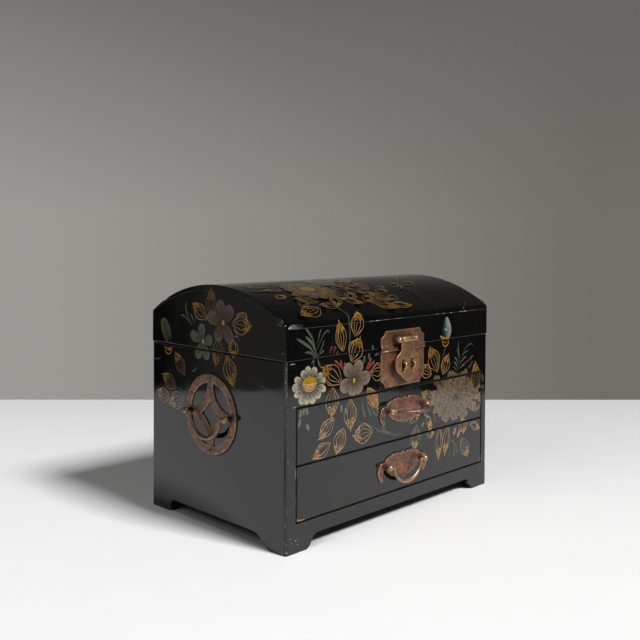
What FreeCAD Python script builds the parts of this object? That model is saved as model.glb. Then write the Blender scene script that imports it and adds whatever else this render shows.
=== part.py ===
import FreeCAD, Part
import math
import os

# A lacquered mahjong case: a box on bracket feet with two drawers, and a domed lid hinged at the back.
# Units are millimetres. +X is to the right, -Y is the front and +Z is up.
# The origin is on the floor, at the middle of the box that holds the whole object.

# Case and lid boards
case_width = 305.0
case_depth = 200.0
seam_height = 167.0  # floor to the seam between the case and the lid
seam_gap = 0.4  # the lid's edge rests this far above the case
left_board = 12.5  # thickness of the left side, whose front edge is the left stile
right_board = 9.8
back_board = 8.0
fascia_thickness = 10.0
apron_thickness = 10.0
base_thickness = 6.0
tray_thickness = 5.0
corner_round = 2.6  # on the upright outer corners of the case
arris_round = 0.7  # on the other edges that a hand meets

# Drawer opening and bracket feet
opening_bottom = 25.6
upper_drawer_height = 51.2  # from the line between the two drawers to the opening's upper edge
fascia_height = 40.2  # from the opening's upper edge to the seam between the case and the lid
rail_underside = 12.2  # height of the gap under the case
foot_flat = 25.0  # the front and back feet, measured along the case from its corner
foot_run = 38.6
side_front_foot_flat = 19.0  # the same feet, measured along the sides
side_front_foot_run = 42.0
side_back_foot_flat = 29.0
side_back_foot_run = 35.5
foot_bow = 1.1  # how far each half of the foot's ogee bends

# Domed lid
lid_rail_height = 27.9  # from the seam to the underside of the top board at the eaves
eave_rise = 4.1  # from there to the top board's outer corner, before it is rounded
dome_rise = 30.6  # from that corner to the crown
eave_round = 5.0
top_thickness = 4.5
lid_rail_thickness = 9.0

# Drawers
drawer_gap = 1.0  # the dark line round each drawer front
drawer_front_thickness = 10.0
drawer_side_thickness = 6.0
drawer_back_thickness = 5.0
drawer_bottom_thickness = 4.0
drawer_side_play = 0.6
drawer_rear_space = 4.0  # between the drawer's back and the case's back
slide_clearance = 0.3  # under and over a sliding drawer
runner_width = 5.0
runner_height = 6.0
upper_box_rise = 1.6  # the upper drawer's box sits this far above its front's lower edge
front_lip = 6.0  # the drawer's box stops this far below the top of its front
lining_thickness = 1.5
lining_margin = 0.5

# Latch on the front
sheet = 1.0  # thickness of every sheet-metal plate
latch_x = 4.5  # the plates are nailed on a little right of centre
latch_half_width = 33.3
latch_margin = 2.2  # from the upper edge of the drawer opening to the lower plate
latch_rise = 17.0  # from the seam to the top of the upper plate
latch_clip = 6.5  # size of the clipped corners
clip_hollow = 0.2  # how deep their hollow edge is, as a share of that size
latch_plate_gap = 0.5  # between each plate and the seam
lip_drop = 3.0  # the upper plate's lip hangs this far below the seam
lip_clearance = 0.4
hasp_axis_rise = 7.9  # above the seam
hasp_standoff = 6.4
hasp_thickness = 1.5
hasp_eye_radius = 2.7
hasp_eye_length = 18.5
hasp_pin_radius = 1.2
hasp_neck_half = 9.4
hasp_body_half = 18.5
hasp_widest_drop = 15.5  # from the seam down to the widest place of the hasp
hasp_tip_drop = 33.6  # from the seam down to its tip
hasp_tip_kick = 3.0  # the tip bends this far away from the case
hasp_lip_half = 9.2  # where the tip's slope ends
hasp_lip_rise = 4.8  # above the tip
hasp_cusp_half = 13.6  # where the round body begins
hasp_cusp_rise = 8.6
hasp_shoulder_half = 14.6  # where the body ends and the neck begins to draw in
hasp_shoulder_rise = 9.0  # above the widest place
hasp_neck_rise = 16.5
latch_post_radius = 1.9
latch_ball_radius = 3.0
running_clearance = 0.08  # radial, between a pin or stub and its bore
side_clearance = 0.4  # along a pin, between an eye and its neighbours
slot_pitch = 13.4
slot_width = 5.0
slot_height = 12.4
slot_drop = 17.4  # from the seam down to the middle of the slots
staple_wire = 1.2
staple_half_height = 3.2
staple_reach = 7.4  # straight part of each leg outside the case
fastener_depth = 6.0  # how deep every nail, post and staple goes into the wood

# Drawer pulls
upper_pull_x = 8.0  # the pulls are nailed on a little right of centre too
lower_pull_x = 5.5
upper_pull_lift = 4.0  # above the middle of the drawer's front
lower_pull_lift = 0.0
upper_pull_raise = 90.0  # degrees from hanging: the upper bail is stiff and stands straight out
pull_plate_half_width = 38.0
pull_plate_half_height = 13.0
pull_nail_across = 0.89  # the nail in each hook of the plate, as shares of the plate's half sizes
pull_nail_up = -0.35
pull_post_pitch = 54.0
pull_post_rise = 1.5  # the posts stand this far above the middle of the plate
pull_standoff = 7.0
pull_post_stem = 1.9
pull_ball_radius = 3.2
pull_drop = 17.5  # from the post's axis to the middle of the bail's lowest wire
pull_wire = 1.7
pull_stub = 1.35
pull_stub_end = 0.8  # how far the bail's end comes through its post
pull_bend = 3.2  # radius of the bend beside each post
pull_side_radius = 8.5

# Side handles
side_plate_y = 3.5  # how far the plates sit behind the middle of the case's depth
side_plate_drop = 59.7  # from the seam down to the middle of the plate
side_plate_radius = 38.1
side_ring_width = 8.5
band_outer = 34.0  # each of the four bands lies between two circles about a corner of the square
band_inner = 25.5
side_post_pitch = 59.2
side_standoff = 7.2
side_post_stem = 2.1
side_ball_radius = 3.4
side_drop = 21.5
side_wire = 2.0
side_stub = 1.5
side_stub_end = 0.9
side_bend = 3.6
side_side_radius = 11.0
side_nail_count = 6

# Nails and screws
nail_radius = 0.7
nail_head_radius = 1.35
nail_head_height = 0.7
screw_radius = 1.1
screw_head_radius = 2.0
screw_head_height = 0.8
slot_cut = 0.5  # width and depth of a screw's slot

# Hinges at the back
hinge_inset = 57.5  # from each end of the case to the middle of its hinge
hinge_width = 36.0
hinge_leaf_height = 17.0
hinge_clip = 4.0
hinge_leaf = 1.0
hinge_screw_pitch = 12.0
hinge_screw_reach = 10.2  # from the hinge's axis to its screws
knuckle_radius = 2.5
hinge_pin_radius = 1.1
knuckle_count = 5
knuckle_gap = 0.3

# Places worked out from the sizes above
touch = 0.01
front_reach = pull_standoff + pull_drop + pull_wire
back_reach = 2.0 * knuckle_radius
front_y = -(case_depth + back_reach - front_reach) / 2.0
back_y = front_y + case_depth
middle_y = (front_y + back_y) / 2.0
left_x = -case_width / 2.0
right_x = case_width / 2.0
inner_left = left_x + left_board
inner_right = right_x - right_board
opening_top = seam_height - fascia_height
drawer_split = opening_top - upper_drawer_height
lid_bottom = seam_height + seam_gap
eave_joint = seam_height + lid_rail_height
lid_apex = eave_joint + eave_rise + dome_rise
latch_bottom = opening_top + latch_margin
latch_top = seam_height + latch_rise
hasp_axis_height = seam_height + hasp_axis_rise
hasp_widest = seam_height - hasp_widest_drop
hasp_tip = seam_height - hasp_tip_drop
slot_middle = seam_height - slot_drop
side_plate_height = seam_height - side_plate_drop
hinge_x = case_width / 2.0 - hinge_inset
arch_radius = ((case_depth / 2.0) ** 2 + dome_rise**2) / (2.0 * dome_rise)
arch_centre_z = lid_apex - arch_radius
runner_top = drawer_split + upper_box_rise - slide_clearance
runner_bottom = runner_top - runner_height
drawer_back_y = back_y - back_board - drawer_rear_space
hasp_axis_y = front_y - hasp_standoff
hinge_axis_z = seam_height + seam_gap / 2.0


def vector(x, y, z):
    return FreeCAD.Vector(x, y, z)


def box(xs, ys, zs):
    """A block between two values along each axis."""
    corner = vector(xs[0], ys[0], zs[0])
    return Part.makeBox(xs[1] - xs[0], ys[1] - ys[0], zs[1] - zs[0], corner)


def rod(radius, start, end):
    """A cylinder from one point to another."""
    along = end - start
    return Part.makeCylinder(radius, along.Length, start, along)


def outline(place, corners):
    """A closed wire. Each corner is (u, v, bow): the edge that arrives there bends right by bow."""
    edges = []
    for before, after in zip(corners[-1:] + corners[:-1], corners):
        start = place(before[0], before[1])
        end = place(after[0], after[1])
        if after[2] == 0:
            edges.append(Part.LineSegment(start, end).toShape())
            continue
        du = after[0] - before[0]
        dv = after[1] - before[1]
        share = after[2] / math.hypot(du, dv)
        middle = place((before[0] + after[0]) / 2.0 + dv * share, (before[1] + after[1]) / 2.0 - du * share)
        edges.append(Part.Arc(start, middle, end).toShape())
    return Part.Wire(edges)


def both_halves(right):
    """The whole of a symmetric outline, from its right half, which runs from bottom to top."""
    left = [(-u, v, after[2]) for (u, v, _), after in zip(right[-2:0:-1], right[:1:-1])]
    foot = (right[0][0], right[0][1], right[1][2])
    return [foot] + right[1:] + left


def front_sheet(corners, x, z, y_outer, y_inner):
    """A plate with its outline drawn about (x, z), between two values of Y."""
    wire = outline(lambda u, v: vector(x + u, y_outer, z + v), corners)
    return Part.Face(wire).extrude(vector(0, y_inner - y_outer, 0))


def side_sheet(corners, x_low, x_high):
    """A board with its outline drawn in Y and Z, between two values of X."""
    wire = outline(lambda u, v: vector(x_low, u, v), corners)
    return Part.Face(wire).extrude(vector(x_high - x_low, 0, 0))


def edges_on(shape, x=None, y=None, z=None):
    """The shape's edges that lie in every plane named."""
    found = []
    for edge in shape.Edges:
        span = edge.BoundBox
        planes = ((x, span.XMin, span.XMax), (y, span.YMin, span.YMax), (z, span.ZMin, span.ZMax))
        near = [at is None or max(abs(low - at), abs(high - at)) < touch for at, low, high in planes]
        if all(near):
            found.append(edge)
    return found


def turned_on_lathe(profile):
    """A solid of revolution about +Z. The profile is drawn as (radius, height, bow) corners."""
    wire = outline(lambda u, v: vector(u, 0, v), profile)
    return Part.Face(wire).revolve(vector(0, 0, 0), vector(0, 0, 1), 360)


def pointing_out(shape, place):
    """Stands a shape made about +Z on the front, so that its +Z points along -Y from place."""
    turned = shape.copy()
    turned.rotate(vector(0, 0, 0), vector(1, 0, 0), 90)
    turned.translate(place)
    return turned


def facing(shape, turn, place):
    """Moves a fitting made facing -Y at the origin: turned about Z, then set at place."""
    moved = shape.copy()
    moved.rotate(vector(0, 0, 0), vector(0, 0, 1), turn)
    moved.translate(place)
    return moved


def domed_fastener(shank, depth, head_radius, head_height):
    """A nail: a shank below z = 0 and a domed head above it."""
    chord = math.hypot(head_radius, head_height)
    dome_radius = chord**2 / (2.0 * head_height)
    bow = dome_radius - math.sqrt(dome_radius**2 - (chord / 2.0) ** 2)
    profile = [
        (0, -depth, 0),
        (shank, -depth, 0),
        (shank, 0, 0),
        (head_radius, 0, 0),
        (0, head_height, bow),
    ]
    return turned_on_lathe(profile)


def ball_post(stem, depth, ball, height, bore):
    """A post with a ball whose middle is at height, bored along X for the end of a bail or pin."""
    seat = height - math.sqrt(ball**2 - stem**2)
    half_chord = math.hypot(stem, height + ball - seat) / 2.0
    bow = ball - math.sqrt(ball**2 - half_chord**2)
    profile = [
        (0, -depth, 0),
        (stem, -depth, 0),
        (stem, seat, 0),
        (0, height + ball, bow),
    ]
    post = turned_on_lathe(profile)
    return post.cut(rod(bore, vector(-2 * ball, 0, height), vector(2 * ball, 0, height)))


def bail(post_pitch, ball, stub_end, stub, wire, bend, side_radius, drop):
    """A swinging handle that hangs along -Z from an axis along X, as a swept wire with a stub at each end."""
    inner = post_pitch / 2.0 - ball - side_clearance - bend
    depth = drop - bend
    rise = ((inner - side_radius) ** 2 - (depth - side_radius) ** 2) / (2.0 * (depth - side_radius))
    long_radius = depth + rise
    tilt = math.atan2(inner - side_radius, rise)
    ease = 1.0 - math.sqrt(0.5)

    def half(sign):
        lean = (math.pi / 2.0 + tilt) / 2.0
        bend_start = vector(sign * (inner + bend), 0, 0)
        bend_middle = vector(sign * (inner + bend * ease), 0, -bend * ease)
        bend_end = vector(sign * inner, 0, -bend)
        across = inner - side_radius + side_radius * math.sin(lean)
        side_middle = vector(sign * across, 0, -bend - side_radius * math.cos(lean))
        across = long_radius * math.sin(tilt)
        side_end = vector(sign * across, 0, -bend + rise - long_radius * math.cos(tilt))
        return bend_start, bend_middle, bend_end, side_middle, side_end

    right = half(1)
    left = half(-1)
    lowest = vector(0, 0, -drop)
    edges = [
        Part.Arc(right[0], right[1], right[2]).toShape(),
        Part.Arc(right[2], right[3], right[4]).toShape(),
        Part.Arc(right[4], lowest, left[4]).toShape(),
        Part.Arc(left[4], left[3], left[2]).toShape(),
        Part.Arc(left[2], left[1], left[0]).toShape(),
    ]
    section = Part.Wire(Part.Circle(right[0], vector(1, 0, 0), wire).toShape())
    body = Part.Wire(edges).makePipeShell([section], True, False)
    reach = post_pitch / 2.0 + ball + stub_end
    for sign in (-1, 1):
        body = body.fuse(rod(stub, vector(sign * inner, 0, 0), vector(sign * reach, 0, 0)))
    return body.removeSplitter()


def foot_up(flat, run, sign, origin):
    """Outline corners of a bracket foot's ogee, from its flat up to the rail's underside."""
    middle = ((flat + run) / 2.0, rail_underside / 2.0)
    rising = [(flat, 0.0), middle, (run, rail_underside)]
    places = [(origin + sign * along, height) for along, height in rising]
    if sign > 0:
        bows = (0, foot_bow, -foot_bow)
        return [(u, v, bow) for (u, v), bow in zip(places, bows)]
    bows = (0, -foot_bow, foot_bow)
    return [(u, v, bow) for (u, v), bow in zip(reversed(places), bows)]


def footed_outline(low, high, top, low_foot, high_foot):
    """A board that stands on two bracket feet, each given as (flat, run) from its own corner."""
    corners = [(low, 0, 0)]
    corners += foot_up(low_foot[0], low_foot[1], 1, low)
    corners += foot_up(high_foot[0], high_foot[1], -1, high)
    corners += [(high, 0, 0), (high, top, 0), (low, top, 0)]
    return corners


def drill(places, radius):
    """Holes for fasteners at (x, z) places in a fitting that faces -Y, through its plate into the wood."""
    holes = [rod(radius, vector(x, -sheet, z), vector(x, fastener_depth, z)) for x, z in places]
    return Part.makeCompound(holes)


def fasteners(kind, places):
    """Copies of one fastener at (x, z) places in a fitting that faces -Y, on the face of its plate."""
    return Part.makeCompound([pointing_out(kind, vector(x, -sheet, z)) for x, z in places])


# The parts that each function makes are collected here by node name
parts = {}


def make_side(name, x_low, x_high, x_outer):
    """A side of the case, cut from one board with its two bracket feet."""
    feet = [(side_front_foot_flat, side_front_foot_run), (side_back_foot_flat, side_back_foot_run)]
    corners = footed_outline(front_y, back_y, seam_height, feet[0], feet[1])
    board = side_sheet(corners, x_low, x_high)
    uprights = edges_on(board, x=x_outer, y=front_y) + edges_on(board, x=x_outer, y=back_y)
    board = board.makeFillet(corner_round, uprights)
    parts[name] = board.makeFillet(arris_round, edges_on(board, z=seam_height))


def make_cross_board(name, y_low, y_high, top):
    """A board between the sides that stands on the inner parts of the bracket feet."""
    low_foot = (foot_flat - left_board, foot_run - left_board)
    high_foot = (foot_flat - right_board, foot_run - right_board)
    corners = footed_outline(inner_left, inner_right, top, low_foot, high_foot)
    parts[name] = front_sheet(corners, 0, 0, y_low, y_high)


def make_case():
    """The boards of the case, its tray and what the drawers run on."""
    make_side("side_panel_left", left_x, inner_left, left_x)
    make_side("side_panel_right", inner_right, right_x, right_x)
    make_cross_board("back_panel", back_y - back_board, back_y, seam_height)
    make_cross_board("front_apron", front_y, front_y + apron_thickness, opening_bottom)
    inner = (inner_left, inner_right)
    rear = back_y - back_board
    fascia = box(inner, (front_y, front_y + fascia_thickness), (opening_top, seam_height))
    parts["fascia_board"] = fascia.makeFillet(arris_round, edges_on(fascia, y=front_y, z=seam_height))
    tray_height = (opening_top, opening_top + tray_thickness)
    parts["tray_floor"] = box(inner, (front_y + fascia_thickness, rear), tray_height)
    base_height = (opening_bottom - base_thickness, opening_bottom)
    parts["base_panel"] = box(inner, (front_y + apron_thickness, rear), base_height)
    run = (front_y + drawer_front_thickness + drawer_gap, rear)
    height = (runner_bottom, runner_top)
    left = box((inner_left, inner_left + runner_width), run, height)
    right = box((inner_right - runner_width, inner_right), run, height)
    parts["drawer_runners"] = Part.makeCompound([left, right])
    lining_x = (inner_left + lining_margin, inner_right - lining_margin)
    lining_y = (front_y + fascia_thickness + lining_margin, rear - lining_margin)
    parts["tray_lining"] = box(lining_x, lining_y, (tray_height[1], tray_height[1] + lining_thickness))


def make_lid():
    """The bent top board, and the ends and rails that it is glued to."""
    half = case_depth / 2.0
    round_y = half - eave_round
    round_z = math.sqrt((arch_radius - eave_round) ** 2 - round_y**2)
    climb = math.atan2(round_z, round_y)
    arc_y = arch_radius * math.cos(climb)
    arc_z = arch_centre_z + arch_radius * math.sin(climb)
    straight = arch_centre_z + round_z
    corner_bow = eave_round * (1.0 - math.cos(climb / 2.0))
    crown_bow = arch_radius * (1.0 - math.sin(climb))
    inner_radius = arch_radius - top_thickness
    ledge = math.sqrt(inner_radius**2 - (eave_joint - arch_centre_z) ** 2)
    vault_bow = inner_radius - (eave_joint - arch_centre_z)
    corners = [
        (middle_y - half, eave_joint, 0),
        (middle_y - ledge, eave_joint, 0),
        (middle_y + ledge, eave_joint, -vault_bow),
        (middle_y + half, eave_joint, 0),
        (middle_y + half, straight, 0),
        (middle_y + arc_y, arc_z, corner_bow),
        (middle_y - arc_y, arc_z, crown_bow),
        (middle_y - half, straight, corner_bow),
    ]
    top = side_sheet(corners, left_x, right_x)
    ends = edges_on(top, x=left_x) + edges_on(top, x=right_x)
    visible = []
    for edge in ends:
        vault = edge.Length > case_depth / 2.0 and edge.BoundBox.ZMax < lid_apex - touch
        if not vault and edge.BoundBox.ZMax > eave_joint + touch:
            visible.append(edge)
    parts["lid_top"] = top.makeFillet(arris_round, visible)

    outer_y = (front_y, back_y)
    axis_low = vector(left_x, middle_y, arch_centre_z)
    axis_high = vector(right_x, middle_y, arch_centre_z)
    hollow = rod(inner_radius, axis_low, axis_high)
    under = box((left_x, right_x), outer_y, (lid_bottom, eave_joint))
    arch = box((left_x, right_x), outer_y, (lid_bottom, lid_apex)).common(hollow)
    under = under.fuse(arch).removeSplitter()
    blocks = {
        "lid_end_left": ((left_x, inner_left), outer_y),
        "lid_end_right": ((inner_right, right_x), outer_y),
        "lid_front_rail": ((inner_left, inner_right), (front_y, front_y + lid_rail_thickness)),
        "lid_back_rail": ((inner_left, inner_right), (back_y - lid_rail_thickness, back_y)),
    }
    for name, (xs, ys) in blocks.items():
        parts[name] = box(xs, ys, (lid_bottom, lid_apex)).common(under)
    for name, outer in (("lid_end_left", left_x), ("lid_end_right", right_x)):
        end = parts[name]
        uprights = edges_on(end, x=outer, y=front_y) + edges_on(end, x=outer, y=back_y)
        end = end.makeFillet(arris_round, uprights)
        parts[name] = end.makeFillet(arris_round, edges_on(end, z=lid_bottom))
    for name, face in (("lid_front_rail", front_y), ("lid_back_rail", back_y)):
        rail = parts[name]
        parts[name] = rail.makeFillet(arris_round, edges_on(rail, y=face, z=lid_bottom))


def drawer_heights(level):
    """The front's and the box's lowest and highest points, for the upper or the lower drawer."""
    if level == "upper":
        front = (drawer_split + drawer_gap / 2.0, opening_top - drawer_gap)
        return front, (runner_top + slide_clearance, front[1] - front_lip)
    front = (opening_bottom + drawer_gap, drawer_split - drawer_gap / 2.0)
    return front, (opening_bottom + slide_clearance, runner_bottom - slide_clearance)


def make_drawer(level):
    """One drawer: its front, the box behind it and the felt on its floor."""
    front_z, box_z = drawer_heights(level)
    front_x = (inner_left + drawer_gap, inner_right - drawer_gap)
    behind = front_y + drawer_front_thickness
    front = box(front_x, (front_y, behind), front_z)
    front = front.makeFillet(arris_round, edges_on(front, y=front_y))
    low = inner_left + drawer_side_play
    high = inner_right - drawer_side_play
    low_in = low + drawer_side_thickness
    high_in = high - drawer_side_thickness
    back_front = drawer_back_y - drawer_back_thickness
    floor_top = box_z[0] + drawer_bottom_thickness
    prefix = "drawer_" + level + "_"
    parts[prefix + "front"] = front
    parts[prefix + "side_left"] = box((low, low_in), (behind, drawer_back_y), box_z)
    parts[prefix + "side_right"] = box((high_in, high), (behind, drawer_back_y), box_z)
    parts[prefix + "back"] = box((low_in, high_in), (back_front, drawer_back_y), box_z)
    parts[prefix + "bottom"] = box((low_in, high_in), (behind, back_front), (box_z[0], floor_top))
    lining_x = (low_in + lining_margin, high_in - lining_margin)
    lining_y = (behind + lining_margin, back_front - lining_margin)
    parts[prefix + "lining"] = box(lining_x, lining_y, (floor_top, floor_top + lining_thickness))


def nail():
    return domed_fastener(nail_radius, fastener_depth + sheet, nail_head_radius, nail_head_height)


def screw():
    """A round-headed screw with a slot across its head."""
    body = domed_fastener(screw_radius, fastener_depth + sheet, screw_head_radius, screw_head_height)
    reach = (-screw_head_radius, screw_head_radius)
    slot_floor = screw_head_height - slot_cut
    return body.cut(box(reach, (-slot_cut / 2.0, slot_cut / 2.0), (slot_floor, screw_head_height + slot_cut)))


def fit(shapes, boards, turn, place):
    """Sets a fitting's pieces in place by node name, and drills its boards with what is named 'drill'."""
    for name, shape in shapes.items():
        if name != "drill":
            parts[name] = facing(shape, turn, place)
    holes = facing(shapes["drill"], turn, place)
    for board in boards:
        parts[board] = parts[board].cut(holes)


def pull_plate_corners():
    """The plate's outline, a scalloped leaf with a hook at each end, drawn as shares of its half sizes."""
    right = [
        (0.00, -1.00, 0),
        (0.20, -0.86, 1.0),
        (0.38, -0.71, 1.0),
        (0.54, -0.46, 1.0),
        (0.66, -0.14, 0.9),
        (0.77, -0.12, -0.3),
        (0.82, -0.40, 0.3),
        (0.79, -0.83, -0.4),
        (0.91, -0.82, 2.0),
        (1.00, -0.24, 0.7),
        (0.89, 0.35, 1.1),
        (0.73, 0.42, 0.8),
        (0.62, 0.71, 0.7),
        (0.46, 0.82, 0.8),
        (0.30, 0.92, 0.8),
        (0.14, 0.86, 0.9),
        (0.00, 1.00, -0.4),
    ]
    scaled = [(u * pull_plate_half_width, v * pull_plate_half_height, bow) for u, v, bow in right]
    return both_halves(scaled)


def make_pull(level, x, lift):
    """A drawer pull: its plate, the posts and nails that hold it, and the bail that swings in the posts."""
    front_z = drawer_heights(level)[0]
    place = vector(x, front_y, (front_z[0] + front_z[1]) / 2.0 + lift)
    posts = [(side * pull_post_pitch / 2.0, pull_post_rise) for side in (-1, 1)]
    hook = (pull_nail_across * pull_plate_half_width, pull_nail_up * pull_plate_half_height)
    nails = [(-hook[0], hook[1]), hook]
    post = ball_post(
        pull_post_stem,
        fastener_depth + sheet,
        pull_ball_radius,
        pull_standoff - sheet,
        pull_stub + running_clearance,
    )
    holes = Part.makeCompound([drill(posts, pull_post_stem), drill(nails, nail_radius)])
    plate = front_sheet(pull_plate_corners(), 0, 0, -sheet, 0).cut(holes)
    prefix = "drawer_" + level + "_"
    shapes = {
        prefix + "pull_plate": plate,
        prefix + "pull_posts": fasteners(post, posts),
        prefix + "pull_nails": fasteners(nail(), nails),
        "drill": holes,
    }
    fit(shapes, [prefix + "front"], 0, place)
    handle = bail(
        pull_post_pitch,
        pull_ball_radius,
        pull_stub_end,
        pull_stub,
        pull_wire,
        pull_bend,
        pull_side_radius,
        pull_drop,
    )
    if level == "upper":
        handle.rotate(vector(0, 0, 0), vector(1, 0, 0), -upper_pull_raise)
    handle.translate(place + vector(0, -pull_standoff, pull_post_rise))
    parts["bail_" + level] = handle


def coin_plate():
    """A round plate pierced like an old coin: four leaf-shaped holes round a square one with hollow sides."""
    ring_inner = side_plate_radius - side_ring_width
    front = vector(0, -sheet, 0)
    back = vector(0, 0, 0)

    def corner_rod(radius, across, up):
        offset = vector(across * ring_inner, 0, up * ring_inner)
        return rod(radius, front + offset, back + offset)

    plate = rod(side_plate_radius, front, back)
    disc = rod(ring_inner, front, back)
    square = box((-ring_inner, ring_inner), (-sheet, 0), (-ring_inner, ring_inner))
    for across in (-1, 1):
        for up in (-1, 1):
            plate = plate.cut(disc.common(corner_rod(band_inner, across, up)))
            square = square.cut(corner_rod(band_outer, across, up))
    middle = [solid for solid in square.Solids if solid.isInside(vector(0, -sheet / 2.0, 0), touch, True)]
    return plate.cut(middle[0])


def make_side_handle(side, board, turn, x):
    """A side handle: the pierced plate, two posts, six nails and the bail."""
    place = vector(x, middle_y + side_plate_y, side_plate_height)
    posts = [(step * side_post_pitch / 2.0, 0) for step in (-1, 1)]
    nail_circle = side_plate_radius - side_ring_width / 2.0
    angles = [math.pi / 2.0 + 2.0 * math.pi * step / side_nail_count for step in range(side_nail_count)]
    nails = [(nail_circle * math.cos(angle), nail_circle * math.sin(angle)) for angle in angles]
    post = ball_post(
        side_post_stem,
        fastener_depth + sheet,
        side_ball_radius,
        side_standoff - sheet,
        side_stub + running_clearance,
    )
    holes = Part.makeCompound([drill(posts, side_post_stem), drill(nails, nail_radius)])
    shapes = {
        "side_plate_" + side: coin_plate().cut(holes),
        "side_posts_" + side: fasteners(post, posts),
        "side_nails_" + side: fasteners(nail(), nails),
        "drill": holes,
    }
    fit(shapes, [board], turn, place)
    handle = bail(
        side_post_pitch,
        side_ball_radius,
        side_stub_end,
        side_stub,
        side_wire,
        side_bend,
        side_side_radius,
        side_drop,
    )
    handle.translate(vector(0, -side_standoff, 0))
    parts["side_bail_" + side] = facing(handle, turn, place)


def staple():
    """One wire loop that faces -Y, drawn about the middle of its two legs."""
    rise = staple_half_height
    inside = vector(0, fastener_depth, -rise)
    low = vector(0, -staple_reach, -rise)
    tip = vector(0, -staple_reach - rise, 0)
    high = vector(0, -staple_reach, rise)
    path = Part.Wire(
        [
            Part.LineSegment(inside, low).toShape(),
            Part.Arc(low, tip, high).toShape(),
            Part.LineSegment(high, vector(0, fastener_depth, rise)).toShape(),
        ]
    )
    section = Part.Wire(Part.Circle(inside, vector(0, 1, 0), staple_wire).toShape())
    return path.makePipeShell([section], True, False)


def latch_outline(bottom, top, clip_bottom, clip_top):
    """A latch plate's outline about its middle, with hollow corners of the given sizes."""
    half = latch_half_width
    right = [(0, bottom, 0), (half - clip_bottom, bottom, 0)]
    if clip_bottom:
        right.append((half, bottom + clip_bottom, -clip_bottom * clip_hollow))
    right.append((half, top - clip_top, 0))
    if clip_top:
        right.append((half - clip_top, top, -clip_top * clip_hollow))
    right.append((0, top, 0))
    return both_halves(right)


def make_latch_plates():
    """The lower plate with its staples, and the upper plate, whose lip hangs over the seam."""
    place = vector(latch_x, front_y, 0)
    staples_x = (-slot_pitch / 2.0, slot_pitch / 2.0)
    legs = [(x, slot_middle + side * staple_half_height) for x in staples_x for side in (-1, 1)]
    nail_in = latch_half_width - latch_clip
    nails = [(side * nail_in, latch_bottom + latch_clip) for side in (-1, 1)]
    holes = Part.makeCompound([drill(legs, staple_wire), drill(nails, nail_radius)])
    corners = latch_outline(latch_bottom, seam_height - latch_plate_gap, latch_clip, 0)
    loops = [staple() for _ in staples_x]
    for loop, x in zip(loops, staples_x):
        loop.translate(vector(x, 0, slot_middle))
    shapes = {
        "latch_plate_lower": front_sheet(corners, 0, 0, -sheet, 0).cut(holes),
        "latch_staples": Part.makeCompound(loops),
        "latch_nails_lower": fasteners(nail(), nails),
        "drill": holes,
    }
    fit(shapes, ["fascia_board"], 0, place)

    foot = seam_height - lip_drop
    step = lid_bottom + latch_plate_gap
    lip_inner = -sheet - lip_clearance
    lip_outer = lip_inner - sheet
    round_end = sheet / 2.0
    profile = [
        (0, latch_top, 0),
        (-sheet, latch_top, 0),
        (-sheet, step - lip_outer, 0),
        (lip_outer, step, 0),
        (lip_outer, foot + round_end, 0),
        (lip_inner, foot + round_end, round_end),
        (lip_inner, step, 0),
        (0, step, 0),
    ]
    corners = latch_outline(foot, latch_top, 0, latch_clip)
    blank = front_sheet(corners, 0, 0, lip_outer, 0)
    plate = blank.common(side_sheet(profile, -latch_half_width, latch_half_width))
    posts_x = hasp_eye_length / 2.0 + side_clearance + latch_ball_radius
    posts = [(side * posts_x, hasp_axis_height) for side in (-1, 1)]
    nails = [(side * nail_in, latch_top - latch_clip) for side in (-1, 1)]
    holes = Part.makeCompound([drill(posts, latch_post_radius), drill(nails, nail_radius)])
    post = ball_post(
        latch_post_radius,
        fastener_depth + sheet,
        latch_ball_radius,
        hasp_standoff - sheet,
        hasp_pin_radius,
    )
    pin_half = posts_x + latch_ball_radius + side_clearance
    pin = rod(
        hasp_pin_radius,
        vector(-pin_half, -hasp_standoff, hasp_axis_height),
        vector(pin_half, -hasp_standoff, hasp_axis_height),
    )
    shapes = {
        "latch_plate_upper": plate.cut(holes),
        "latch_posts": fasteners(post, posts),
        "latch_pin": pin,
        "latch_nails_upper": fasteners(nail(), nails),
        "drill": holes,
    }
    fit(shapes, ["lid_front_rail"], 0, place)


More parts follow.
